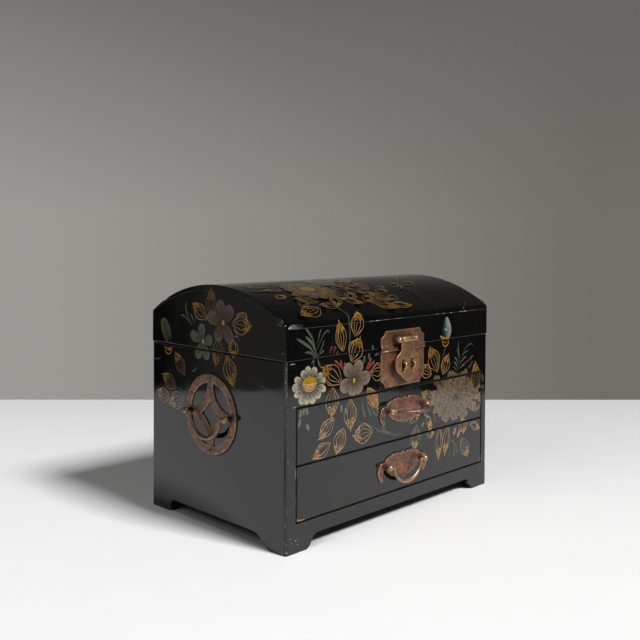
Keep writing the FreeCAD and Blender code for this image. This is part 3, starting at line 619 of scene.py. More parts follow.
def spaced(loop, longest):
    """A loop with its long edges divided, and its very short ones taken out."""
    kept = [loop[0]]
    for point in loop[1:]:
        if math.dist(point, kept[-1]) > SHORTEST_EDGE and math.dist(point, loop[0]) > SHORTEST_EDGE:
            kept.append(point)
    result = []
    for a, b in zip(kept, kept[1:] + kept[:1]):
        parts = max(1, math.ceil(math.dist(a, b) / longest))
        for step in range(parts):
            share = step / parts
            result.append((a[0] + (b[0] - a[0]) * share, a[1] + (b[1] - a[1]) * share))
    return result


def cad_loops(node, facing, lean=0.5):
    """The loops round the faces of a CAD node that look outwards, in millimetres, the outer one first."""
    solid = bmesh.new()
    solid.from_mesh(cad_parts[node].data)
    bmesh.ops.remove_doubles(solid, verts=solid.verts, dist=0.002 * MM)
    solid.normal_update()
    facing_out = {face for face in solid.faces if face.normal.dot(facing.outward) > lean}
    rim = [edge for edge in solid.edges if sum(face in facing_out for face in edge.link_faces) == 1]
    loops = [[facing.flat(vertex.co) for vertex in loop] for loop in traced(rim)]
    solid.free()
    loops = [loop for loop in loops if abs(area_of(loop)) > math.pi * NAIL_HOLE**2]
    return sorted(loops, key=lambda loop: -abs(area_of(loop)))


def inset(loop, distance):
    """The loop moved into the metal, which lies on the left of each edge."""
    moved = []
    count = len(loop)
    for index in range(count):
        a, b, c = (Vector(loop[(index + shift) % count]) for shift in (-1, 0, 1))
        first, second = (b - a).normalized(), (c - b).normalized()
        normal = Vector((-first.y - second.y, first.x + second.x))
        spread = max(normal.length_squared / 2.0, 0.35)
        moved.append(tuple(b + normal * (distance / spread)))
    return moved


def inside(point, loop):
    """Whether a loop goes round a point."""
    u, v = point
    crossings = 0
    for (a, b), (c, d) in zip(loop, loop[1:] + loop[:1]):
        if (b > v) != (d > v) and u < a + (c - a) * (v - b) / (d - b):
            crossings += 1
    return crossings % 2 == 1


def filled(loops, grid):
    """Triangles between the outer loop and the openings, over a grid of points where a spacing is given."""
    outer, *openings = loops
    points, edges = [], []
    for loop in loops:
        base = len(points)
        points.extend(loop)
        edges.extend((base + i, base + (i + 1) % len(loop)) for i in range(len(loop)))

    def in_metal(spot):
        return inside(spot, outer) and not any(inside(spot, opening) for opening in openings)

    if grid:
        rim = points[:]
        us, vs = zip(*outer)
        step_up = grid * ROW_SHARE
        clearance = grid * 0.55
        for row in range(1, int((max(vs) - min(vs)) / step_up) + 1):
            v = min(vs) + row * grid * ROW_SHARE
            u = min(us) + grid * (0.5 if row % 2 else 1.0)
            while u < max(us):
                clear = all(abs(p[0] - u) > clearance or abs(p[1] - v) > clearance for p in rim)
                if clear and in_metal((u, v)):
                    points.append((u, v))
                u += grid
    flat, _, faces, _, _, _ = delaunay_2d_cdt([Vector(p) for p in points], edges, [], 0, 1e-5)
    flat = [tuple(p) for p in flat]
    kept = []
    for face in faces:
        middle = (sum(flat[i][0] for i in face) / 3.0, sum(flat[i][1] for i in face) / 3.0)
        if in_metal(middle):
            kept.append(tuple(face))
    return flat, kept


RIM_STEPS = ((0.0, 0.0), (0.3, 1.0), (0.62, 0.9), (1.0, 0.5))  # how far round the rim, and how rubbed there
LONGEST_EDGE = 1.1
HAMMER_MARK = 7.0  # how broad the marks of the hammer are


def spot_key(u, v):
    """What two points in the same place have in common."""
    return round(u, 4), round(v, 4)


def pressed(loops, top, bottom, rim=0.4, grid=1.7, relief=0.06, seed=0.0):
    """A sheet's skin with rounded rims and a hand-hammered face.

    It gives back (u, v, height) points, faces, and how rubbed each point of the rims is."""
    loops = [spaced(loop, LONGEST_EDGE) for loop in loops]
    loops = [loop if (area_of(loop) > 0) == (index == 0) else loop[::-1] for index, loop in enumerate(loops)]
    points, faces, worn_points = [], [], {}

    def hammered(u, v, amount):
        place = Vector((u / HAMMER_MARK + seed, v / HAMMER_MARK, seed))
        return relief * amount * (noise.noise(place) + 0.35 * noise.noise(place * 3.1))

    def add_ring(ring, height):
        start = len(points)
        points.extend((u, v, height(u, v)) for u, v in ring)
        return range(start, len(points))

    rows = []
    for share, rubbed in RIM_STEPS:
        across = rim * (1.0 - math.cos(share * math.pi / 2.0))
        drop = rim * (1.0 - math.sin(share * math.pi / 2.0))
        row = []
        for loop in loops:
            row.append(add_ring(inset(loop, across), lambda u, v: top(u, v) - drop + hammered(u, v, share)))
            worn_points.update({index: rubbed for index in row[-1]})
        rows.append(row)
    for lower, upper in zip(rows, rows[1:]):
        for low_ring, high_ring in zip(lower, upper):
            faces += strip(low_ring, high_ring)
    lookup = {spot_key(*points[index][:2]): index for ring in rows[-1] for index in ring}
    flat, triangles = filled([[points[index][:2] for index in ring] for ring in rows[-1]], grid)
    order = []
    for u, v in flat:
        key = spot_key(u, v)
        if key not in lookup:
            lookup[key] = len(points)
            points.append((u, v, top(u, v) + hammered(u, v, 1.0)))
        order.append(lookup[key])
    faces.extend(tuple(order[i] for i in face) for face in triangles)
    back_rings = [add_ring(loop, bottom) for loop in loops]
    lookup = {spot_key(*points[index][:2]): index for ring in back_rings for index in ring}
    flat, triangles = filled(loops, None)
    order = [lookup.get(spot_key(u, v)) for u, v in flat]
    backs = [tuple(order[i] for i in reversed(face)) for face in triangles]
    faces.extend(face for face in backs if None not in face)
    for low_ring, back_ring in zip(rows[0], back_rings):
        faces += strip(back_ring, low_ring)
    return points, faces, worn_points


def mark_wear_and_shade(piece, worn_points, shaded_points=None):
    """Writes how rubbed each point is, and how much painted shade darkens it, for the metal's shader."""
    for name, points in (("rub", worn_points), ("painted_shade", shaded_points or {})):
        layer = piece.data.color_attributes.new(name, "FLOAT_COLOR", "POINT")
        for index in range(len(piece.data.vertices)):
            share = points.get(index, 0.0)
            layer.data[index].color = (share, share, share, 1.0)


FAR_OUT = 30.0  # rays start this far in front of a plate, or behind it
NUDGES = ((0, 0), (0.15, 0), (-0.15, 0), (0, 0.15), (0, -0.15), (0.5, 0), (-0.5, 0), (0, 0.5), (0, -0.5))


def height_finder(node, facing, start):
    """A function that gives a CAD node's height at (u, v), as it is met from the start height.

    A ray that passes just beside the node is tried again a little to each side."""
    solid = bmesh.new()
    solid.from_mesh(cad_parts[node].data)
    tree = BVHTree.FromBMesh(solid)
    solid.free()
    way = facing.outward * (-1 if start > 0 else 1)

    def height_at(u, v):
        for du, dv in NUDGES:
            hit = tree.ray_cast(facing.out(u + du, v + dv, start), way)[0]
            if hit is not None:
                return (hit.dot(facing.outward) - facing.at) / MM
        return 0.0

    return height_at


def nearness(u, v, spots):
    """1 in the middle of one of the round spots, (u, v, radius), and 0 outside all of them."""
    return max([1.0 - math.dist((u, v), (at_u, at_v)) / radius for at_u, at_v, radius in spots] + [0.0])


def metal_sheet(name, node, facing, body, finish, extra=(), shaded_spots=(), bare=(), **settings):
    """A pressed plate over a CAD plate: it has its outline and, at each point, its height.

    Painted shade darkens the plate round the spots given for shade, and the spots in bare are rubbed: each is
    (u, v, radius)."""
    top, bottom = (height_finder(node, facing, start) for start in (FAR_OUT, -FAR_OUT))
    points, faces, worn_points = pressed(cad_loops(node, facing), top, bottom, **settings)
    shaded_points = {}
    for index, (u, v, _) in enumerate(points):
        shaded_points[index] = min(nearness(u, v, shaded_spots) * 2.0, 1.0)
        rubbed = nearness(u, v, bare)
        if rubbed > 0.0:
            worn_points[index] = max(worn_points.get(index, 0.0), 0.75 * rubbed**0.7)
    # The rim's outermost edge, where it meets the lacquer, is darkened with painted shade.
    for index, share in worn_points.items():
        if share == 0.0:
            shaded_points[index] = 0.8
    sheet_count = len(points)
    vertices, faces = joined([([facing.out(*point) for point in points], faces)] + list(extra))
    worn_points.update({index: 0.8 for index in range(sheet_count, len(vertices))})
    piece = place_mesh(name, vertices, faces, finish, body)
    mark_wear_and_shade(piece, worn_points, shaded_points)
    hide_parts(node)


def make_painted_shadow_rim(name, node, facing, body, toward, wide):
    """A rim of painted shadow on the lacquer round the edge of a plate, most of it on one side."""
    loop = spaced(cad_loops(node, facing)[0], 1.2)
    if area_of(loop) < 0:
        loop.reverse()
    toward = Vector(toward).normalized()
    inner, outer = [], []
    for before, here, after in zip(loop[-1:] + loop[:-1], loop, loop[1:] + loop[:1]):
        way = Vector((after[1] - before[1], before[0] - after[0])).normalized()
        lumpy = 1.0 + 0.3 * noise.noise(Vector((here[0] / 3.0, here[1] / 3.0, wide)))
        reach = (0.3 + wide * max(way.dot(toward), 0.0) ** 0.7) * lumpy
        inner.append(Vector(here) - way * 0.4)
        outer.append(Vector(here) + way * reach)
    rings = [(inner, 0.01), (outer, 0.01), (outer, 0.05), (inner, 0.06)]
    vertices = [facing.out(point.x, point.y, height) for ring, height in rings for point in ring]
    count = len(loop)
    places = [range(ring * count, (ring + 1) * count) for ring in range(len(rings))]
    faces = []
    for low, high in zip(places, places[1:] + places[:1]):
        faces += strip(low, high)
    place_mesh(name, vertices, faces, painted_shade, body)


# ---------------------------------------------------------------- pulls, handles and latch

POST_SIDES = 28
BAIL_SIDES = 20
CAD_SHEET = 1.0  # the thickness of the CAD plates, on which the posts stand
BALL_STEPS = 12
BALL_SHADE = 1.6  # a ball's painted shade thins out over this height from its back


def post_profile(stem, ball, standoff):
    """A cast post: a flange on the plate, a waist, a collar and a ball whose middle is at the standoff."""
    profile = [(stem, -2.0), (stem + 0.8, 0.3), (stem + 0.85, 0.6), (stem + 0.4, 0.95), (stem - 0.25, 1.3)]
    neck = stem * 0.82
    collar = stem + 0.35
    middle = standoff - CAD_SHEET
    seat = middle - math.sqrt(ball**2 - neck**2)
    profile += [(neck, (1.7 + seat) / 2.0), (neck, seat - 0.55), (collar, seat - 0.3), (collar, seat)]
    low = math.asin(neck * 1.04 / ball)
    for step in range(1, BALL_STEPS + 1):
        angle = low + (math.pi - low) * step / BALL_STEPS
        profile.append((max(ball * math.sin(angle), 0.05), middle - ball * math.cos(angle)))
    return [(radius * MM, height * MM) for radius, height in profile]


def make_posts(name, node, facing, places, stem, ball, standoff, body, finish, rub=0.6):
    """Ball posts at places on a plate, rubbed bright at the front of their balls and darkened with painted
    shade behind, towards the plate.
    """
    profile = post_profile(stem, ball, standoff)
    feet = [facing.out(u, v, CAD_SHEET) for u, v in places]
    groups = [lathe_rings(profile, foot, facing.outward, facing.right, POST_SIDES) for foot in feet]
    vertices, faces = joined(groups)
    piece = place_mesh(name, vertices, faces, finish, body)
    worn_points, shaded_points = {}, {}
    for index, point in enumerate(vertices):
        height = (point.dot(facing.outward) - facing.at) / MM
        clean = min(max((height - standoff + ball) / BALL_SHADE, 0.0), 1.0)
        worn_points[index] = rub * clean
        shaded_points[index] = 0.95 * (1.0 - clean)
    mark_wear_and_shade(piece, worn_points, shaded_points)
    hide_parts(node)


BALL_GAP = 0.4  # between a ball and what turns beside it


def arc_points(middle, radius, start, end, steps):
    """Points of an arc after its first one, the angles in radians."""
    angles = [start + (end - start) * step / steps for step in range(1, steps + 1)]
    return [(middle[0] + radius * math.cos(angle), middle[1] + radius * math.sin(angle)) for angle in angles]


def bail_line(pitch, ball, stub_end, bend, side_radius, drop):
    """The middle line of a bail's right half, from its lowest point to its end, as (across, up)."""
    inner = pitch / 2.0 - ball - BALL_GAP - bend
    depth = drop - bend
    rise = ((inner - side_radius) ** 2 - (depth - side_radius) ** 2) / (2.0 * (depth - side_radius))
    long_radius = depth + rise
    tilt = math.atan2(inner - side_radius, rise)
    down = -math.pi / 2.0
    line = [(0.0, -drop)]
    line += arc_points((0.0, -bend + rise), long_radius, down, down + tilt, 12)
    line += arc_points((inner - side_radius, -bend), side_radius, down + tilt, 0.0, 8)
    line += arc_points((inner + bend, -bend), bend, math.pi, math.pi / 2.0, 6)
    line.append((pitch / 2.0 + ball + stub_end, 0.0))
    return line


RUB_REACH = 16.0  # how many rings of a bail, from its middle, a hand has rubbed


def make_bail(name, node, facing, middle, hang, wire, stub, standoff, finish, rub, **sizes):
    """A bail of drawn wire, fuller in its middle, that hangs in its two posts. hang is the way it points."""
    right = bail_line(**sizes)
    line = [(-across, up) for across, up in reversed(right[1:])] + right
    centre = facing.out(middle[0], middle[1], standoff)
    points = [centre + facing.right * (across * MM) - hang * (up * MM) for across, up in line]
    half = sizes["pitch"] / 2.0
    radii = []
    for across, up in line:
        share = min(abs(across) / (half - sizes["ball"] - sizes["bend"]), 1.0)
        plump = wire * (1.18 - 0.34 * share**1.5) if up < 0 else stub
        radii.append(plump * MM)
    vertices, faces = swept(points, radii, BAIL_SIDES)
    piece = place_mesh(name, vertices, faces, finish, node)
    worn_points = {}
    half_way = len(line) / 2.0
    for index in range(len(vertices)):
        near_middle = max(0.0, 1.0 - abs(index // BAIL_SIDES - half_way) / RUB_REACH)
        worn_points[index] = rub * (0.3 + 0.7 * near_middle)
    mark_wear_and_shade(piece, worn_points)
    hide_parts(node)


PULL = dict(pitch=54.0, ball=3.2, stub_end=0.8, bend=3.2, side_radius=8.5, drop=17.5)
PULL_STANDOFF = 7.0
SIDE = dict(pitch=59.2, ball=3.4, stub_end=0.9, bend=3.6, side_radius=11.0, drop=21.5)
SIDE_STANDOFF = 7.2
# the radius of the painted shade on a plate round each post
POST_SHADE = 4.2
DOWN = Vector((0, 0, -1))


def middle_of(node, facing):
    """The middle of a CAD node's box, as (u, v)."""
    low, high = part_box(node)
    return facing.flat((low + high) / 2.0)


def post_places(middle, pitch):
    """Where the left and the right post stand, a pitch apart."""
    return [(middle[0] + side * pitch / 2.0, middle[1]) for side in (-1, 1)]


def make_drawer_pull(level, hang, seed, rub):
    """A drawer's leaf-shaped plate, its ball posts and its bail."""
    body = "drawer_" + level
    posts = body + "_pull_posts"
    plate = body + "_pull_plate"
    middle = middle_of(posts, front_side)
    places = post_places(middle, PULL["pitch"])
    # Painted shade on the plate round each post.
    shaded_spots = [(u, v, POST_SHADE) for u, v in places]
    metal_sheet(body + "_pull_leaf", plate, front_side, body, aged_brass, shaded_spots=shaded_spots, seed=seed, relief=0.2)
    # A rim of painted shadow round the leaf, broadest at its upper left.
    make_painted_shadow_rim(body + "_pull_shadow_rim", plate, front_side, body, (-0.75, 0.65), 1.7)
    shape = (1.9, PULL["ball"], PULL_STANDOFF)
    make_posts(body + "_pull_ball_posts", posts, front_side, places, *shape, body, bail_brass)
    wire = "bail_" + level
    finish = bail_brass if level == "lower" else dull_brass
    shape = (1.7, 1.35, PULL_STANDOFF)
    make_bail(wire + "_wire", wire, front_side, middle, hang, *shape, finish, rub, **PULL)


def make_side_fittings(side, facing, seed):
    """The round pierced plate on an end, its ball posts and its bail."""
    body = "case"
    posts = "side_posts_" + side
    plate = "side_plate_" + side
    middle = middle_of(posts, facing)
    places = post_places(middle, SIDE["pitch"])
    # Painted shade on the plate round each post.
    shaded_spots = [(u, v, POST_SHADE) for u, v in places]
    metal_sheet("side_plate_pierced_" + side, plate, facing, body, dull_brass, shaded_spots=shaded_spots, seed=seed)
    to_front = 1.0 if side == "left" else -1.0
    # A rim of painted shadow round the plate, broadest towards the front.
    make_painted_shadow_rim("side_plate_shadow_rim_" + side, plate, facing, body, (to_front, 0.1), 1.6)
    shape = (2.1, SIDE["ball"], SIDE_STANDOFF)
    make_posts("side_ball_posts_" + side, posts, facing, places, *shape, body, dull_brass, 0.9)
    shape = (2.0, 1.5, SIDE_STANDOFF)
    wire = "side_bail_"
    make_bail(wire + "wire_" + side, wire + side, facing, middle, DOWN, *shape, dull_brass, 0.8, **SIDE)


LIP_RADIUS = 0.5 * MM
LIP_STEPS = 6
LATCH_BALL = 3.0
LATCH_STANDOFF = 6.4  # of the pin's axis, as all standoffs are of an axis
EYE_RADIUS = 2.7  # of the hasp's rolled eye


def make_latch_lip():
    """The rolled lower edge of the upper latch plate."""
    low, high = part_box("latch_plate_upper")
    front, up = low.y - 0.1 * MM, low.z + LIP_RADIUS
    ends = [Vector((x, front, up)) for x in (low.x + LIP_RADIUS, high.x - LIP_RADIUS)]
    line = [ends[0].lerp(ends[1], step / LIP_STEPS) for step in range(LIP_STEPS + 1)]
    vertices, faces = swept(line, [LIP_RADIUS] * len(line), 12)
    piece = place_mesh("latch_lip", vertices, faces, latch_brass, "lid")
    mark_wear_and_shade(piece, {index: 1.0 for index in range(len(vertices))})


def make_latch():
    """The two latch plates, the ball posts and the hasp with its rolled eye."""
    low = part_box("latch_plate_lower")[0]
    bare = [(low.x / MM + 6.0, low.z / MM + 5.0, 13.0), (low.x / MM + 20.0, low.z / MM + 1.0, 8.0)]
    lower = "latch_plate_lower"
    metal_sheet(lower + "_pressed", lower, front_side, "case", latch_brass, bare=bare, seed=3.0)
    low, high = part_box("latch_posts")
    across, up = front_side.flat((low + high) / 2.0)
    reach = (high.x - low.x) / MM / 2.0 - LATCH_BALL
    places = post_places((across, up), reach * 2.0)
    # Painted shade on the plate round the posts, broader round the left one.
    shaded_spots = [(places[0][0], up, 7.0), (places[1][0], up, 4.0)]
    upper = "latch_plate_upper"
    metal_sheet(upper + "_pressed", upper, front_side, "lid", latch_brass, shaded_spots=shaded_spots, seed=4.0, relief=0.04)
    make_latch_lip()
    shape = (1.9, LATCH_BALL, LATCH_STANDOFF)
    make_posts("latch_ball_posts", "latch_posts", front_side, places, *shape, "lid", hasp_brass)
    end = -(reach - LATCH_BALL - BALL_GAP)
    half = [(1.35, end), (EYE_RADIUS - 0.5, end)]
    half += [(EYE_RADIUS - 0.1, end + 0.2), (EYE_RADIUS + 0.06, end + 0.6)]
    profile = half + [(radius, -height) for radius, height in reversed(half)]
    rolled = [(radius * MM, height * MM) for radius, height in profile]
    centre = front_side.out(across, up, LATCH_STANDOFF)
    rolled_eye = lathe_rings(rolled, centre, front_side.right, front_side.outward, 32)
    settings = dict(seed=7.0, relief=0.05, grid=1.4)
    metal_sheet("hasp_plate", "hasp", front_side, "hasp", hasp_brass, [rolled_eye], **settings)


CAD_FINISHES = {
    lacquer: (
        "side_panel_left side_panel_right back_panel front_apron fascia_board base_panel lid_top "
        "lid_end_left lid_end_right lid_front_rail lid_back_rail drawer_upper_front drawer_lower_front"
    ),
    bright_brass: "latch_staples latch_pin hinge_pins",
    aged_brass: (
        "hinge_leaf_case_left hinge_leaf_case_right hinge_leaf_lid_left hinge_leaf_lid_right "
        "hinge_screws_case hinge_screws_lid"
    ),
    nail_iron: (
        "side_nails_left side_nails_right latch_nails_lower latch_nails_upper drawer_upper_pull_nails "
        "drawer_lower_pull_nails"
    ),
}


def dress_cad():
    """Gives each CAD node that stays its finish. Whatever isn't named is stained wood inside the case."""
    chosen = {name: finish for finish, names in CAD_FINISHES.items() for name in names.split()}
    for name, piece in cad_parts.items():
        piece.data.materials.clear()
        piece.data.materials.append(chosen.get(name, inner_wood))


LINING_STEP = 5.0 * MM


def make_lining(node, body, seed):
    """A felt lining cut by hand: its edge wanders a little, and it doesn't lie quite flat."""
    low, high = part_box(node)
    wide, deep, thick = (high[axis] - low[axis] for axis in range(3))
    columns = round(wide / LINING_STEP)
    rows = round(deep / LINING_STEP)
    top, bottom = [], []
    for row in range(rows + 1):
        for column in range(columns + 1):
            x = low.x + wide * column / columns
            y = low.y + deep * row / rows
            sway = noise.noise(Vector((x * 40.0, y * 40.0, seed)))
            trim = (0.35 + 0.3 * sway) * MM
            x += trim * ((column == 0) - (column == columns))
            y += trim * ((row == 0) - (row == rows))
            swell = 0.16 * MM * noise.noise(Vector((x * 18.0, y * 18.0, seed + 5.0)))
            drop = 0.3 * MM * (column in (0, columns) or row in (0, rows))
            top.append(Vector((x, y, low.z + thick * 0.88 + swell - drop)))
            bottom.append(Vector((x, y, low.z)))
    count = len(top)
    faces = []
    for row in range(rows):
        for column in range(columns):
            a = row * (columns + 1) + column
            b = a + columns + 1
            faces.append((a, a + 1, b + 1, b))
            faces.append((count + b, count + b + 1, count + a + 1, count + a))
    rim = list(range(columns + 1))
    rim += [row * (columns + 1) + columns for row in range(1, rows + 1)]
    rim += [rows * (columns + 1) + column for column in range(columns - 1, -1, -1)]
    rim += [row * (columns + 1) for row in range(rows - 1, 0, -1)]
    faces += strip([count + index for index in rim], rim)
    piece = place_mesh(node + "_felt", top + bottom, faces, felt, body)
    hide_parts(node)


dress_cad()
make_lining("tray_lining", "case", 1.0)
make_lining("drawer_upper_lining", "drawer_upper", 2.0)
make_lining("drawer_lower_lining", "drawer_lower", 3.0)
make_drawer_pull("upper", front_side.outward, 1.0, 0.1)
make_drawer_pull("lower", DOWN, 2.0, 0.8)
make_side_fittings("left", left_side, 5.0)
make_side_fittings("right", right_side, 6.0)
make_latch()


# ---------------------------------------------------------------- painted ornament

# Colours of the paint
GOLD_LINE = (0.70, 0.385, 0.14)
GOLD_CAP = (0.50, 0.235, 0.045)
GOLD_DARK = (0.13, 0.055, 0.012)
GOLD_DULL = (0.30, 0.155, 0.05)
PALE_GOLD = (0.45, 0.31, 0.20)
RUST = (0.15, 0.031, 0.020)
CREAM = (0.35, 0.31, 0.215)
CREAM_WARM = (0.43, 0.36, 0.235)
TEAL = (0.014, 0.036, 0.035)
YELLOW = (0.29, 0.165, 0.009)
TAUPE = (0.128, 0.095, 0.073)
TAUPE_PALE = (0.185, 0.137, 0.094)
TAUPE_DARK = (0.040, 0.026, 0.016)
MUM = (0.074, 0.046, 0.021)
MUM_PALE = (0.130, 0.089, 0.047)
MUM_DARK = (0.026, 0.016, 0.008)
MUM_SHEENED = (0.150, 0.108, 0.068)
MUM_SHEEN_EDGE = 113.0  # the flower is painted paler below this height, for the pale table's reflection
LEAF = (0.034, 0.044, 0.026)
LEAF_PALE = (0.078, 0.090, 0.056)
SAGE = (0.062, 0.067, 0.044)
SAGE_PALE = (0.098, 0.102, 0.074)
PALE_DAB = (0.100, 0.108, 0.078)
DIM_DAB = (0.055, 0.064, 0.045)
PINK = (0.19, 0.088, 0.066)
SHADE = (0.008, 0.007, 0.006)
CHIP = (0.44, 0.43, 0.41)
BARE_WOOD = (0.42, 0.19, 0.09)
# painted shade in seams, and painted dark reflection along the lid's arched joint
PAINTED_DARK_LINE = grey(0.002)


def within(value):
    """The value, or the nearer of 0 and 1 where it lies outside them."""
    return min(max(value, 0.0), 1.0)


def blend(a, b, share):
    """The colour that lies the given share of the way from a to b."""
    share = within(share)
    return tuple(x + (y - x) * share for x, y in zip(a, b))


def dimmed(colour, share):
    """The colour with each of its parts multiplied by the share."""
    return tuple(part * share for part in colour)


def curve(points, steps=7):
    """A smooth line through points."""
    ends = [points[0]] + list(points) + [points[-1]]
    line = []
    for before, start, end, after in zip(ends, ends[1:], ends[2:], ends[3:]):
        for step in range(steps):
            t = step / steps
            pair = []
            for p, q, r, s in zip(before, start, end, after):
                cubic = (-p + 3 * q - 3 * r + s) * t**3 + (2 * p - 5 * q + 4 * r - s) * t**2
                pair.append(0.5 * (cubic + (r - p) * t + 2 * q))
            line.append(tuple(pair))
    line.append(tuple(points[-1]))
    return line


def round_stroke(share):
    """How a brush stroke's width runs: it starts and ends thin."""
    return 0.25 + 0.75 * math.sqrt(max(math.sin(math.pi * within(share)), 0.0))


def pressed_stroke(share):
    """A leaf stroke: thin where it starts, and wide near its tip, where the brush was pressed."""
    if share > 0.985:
        return 0.14
    return 0.14 + 0.86 * math.sin(math.pi * share**1.7) ** 0.8


PETAL_WIDEST = 0.62  # how far along a petal its widest place is


def petal_width(share):
    """How a petal's width runs: it widens from its base, and its tip is round."""
    if share < PETAL_WIDEST:
        return 0.28 + 0.72 * math.sin(math.pi / 2.0 * share / PETAL_WIDEST)
    return math.sqrt(max(1.0 - ((share - PETAL_WIDEST) / 0.385) ** 2, 0.0)) + 0.02


def lit_middle(tone, pale):
    """A stroke's colour, which is paler down its middle."""
    return lambda along, side: blend(tone, pale, 0.5 * (1 - abs(side)))


def spindle(half, start, reach, power):
    """A stroke's half width along it, where it is full in the middle and narrower at its ends."""
    return lambda along: half * math.sin(math.pi * (start + reach * along)) ** power


STROKE_STEP = 0.0011  # how much higher each stroke lies than the one before, in millimetres
STROKE_LIFT = 0.02
STROKE_ROOT = -0.02  # the foot of each stroke lies this far within the lacquer

# The line and the cap of each kind of bud, where they differ from the usual gold
BUD_LINES = {
    "dark": blend(GOLD_LINE, GOLD_DARK, 0.5),
    "far": (0.30, 0.145, 0.045),
    "pale": PALE_GOLD,
    # cream: gold lines painted paler, for the pale table's reflection low on the front
    "cream": blend(GOLD_LINE, PALE_GOLD, 0.55),
    "dull": blend(GOLD_LINE, TAUPE, 0.62),
}
BUD_CAPS = {
    "far": (0.30, 0.145, 0.045),
    "pale": blend(PALE_GOLD, GOLD_CAP, 0.35),
    "red": (0.5, 0.21, 0.055),
    "dull": (0.3, 0.15, 0.05),
    # cream: a cap painted paler, for the same reflection
    "cream": blend(PALE_GOLD, GOLD_CAP, 0.5),
}
BIG_BUD = 13.5  # a bud wider than this has one more line down its middle
MUM_RINGS = ((1.0, 25, 0.19), (0.82, 21, 0.18), (0.64, 16, 0.17), (0.47, 12, 0.16), (0.3, 8, 0.15))


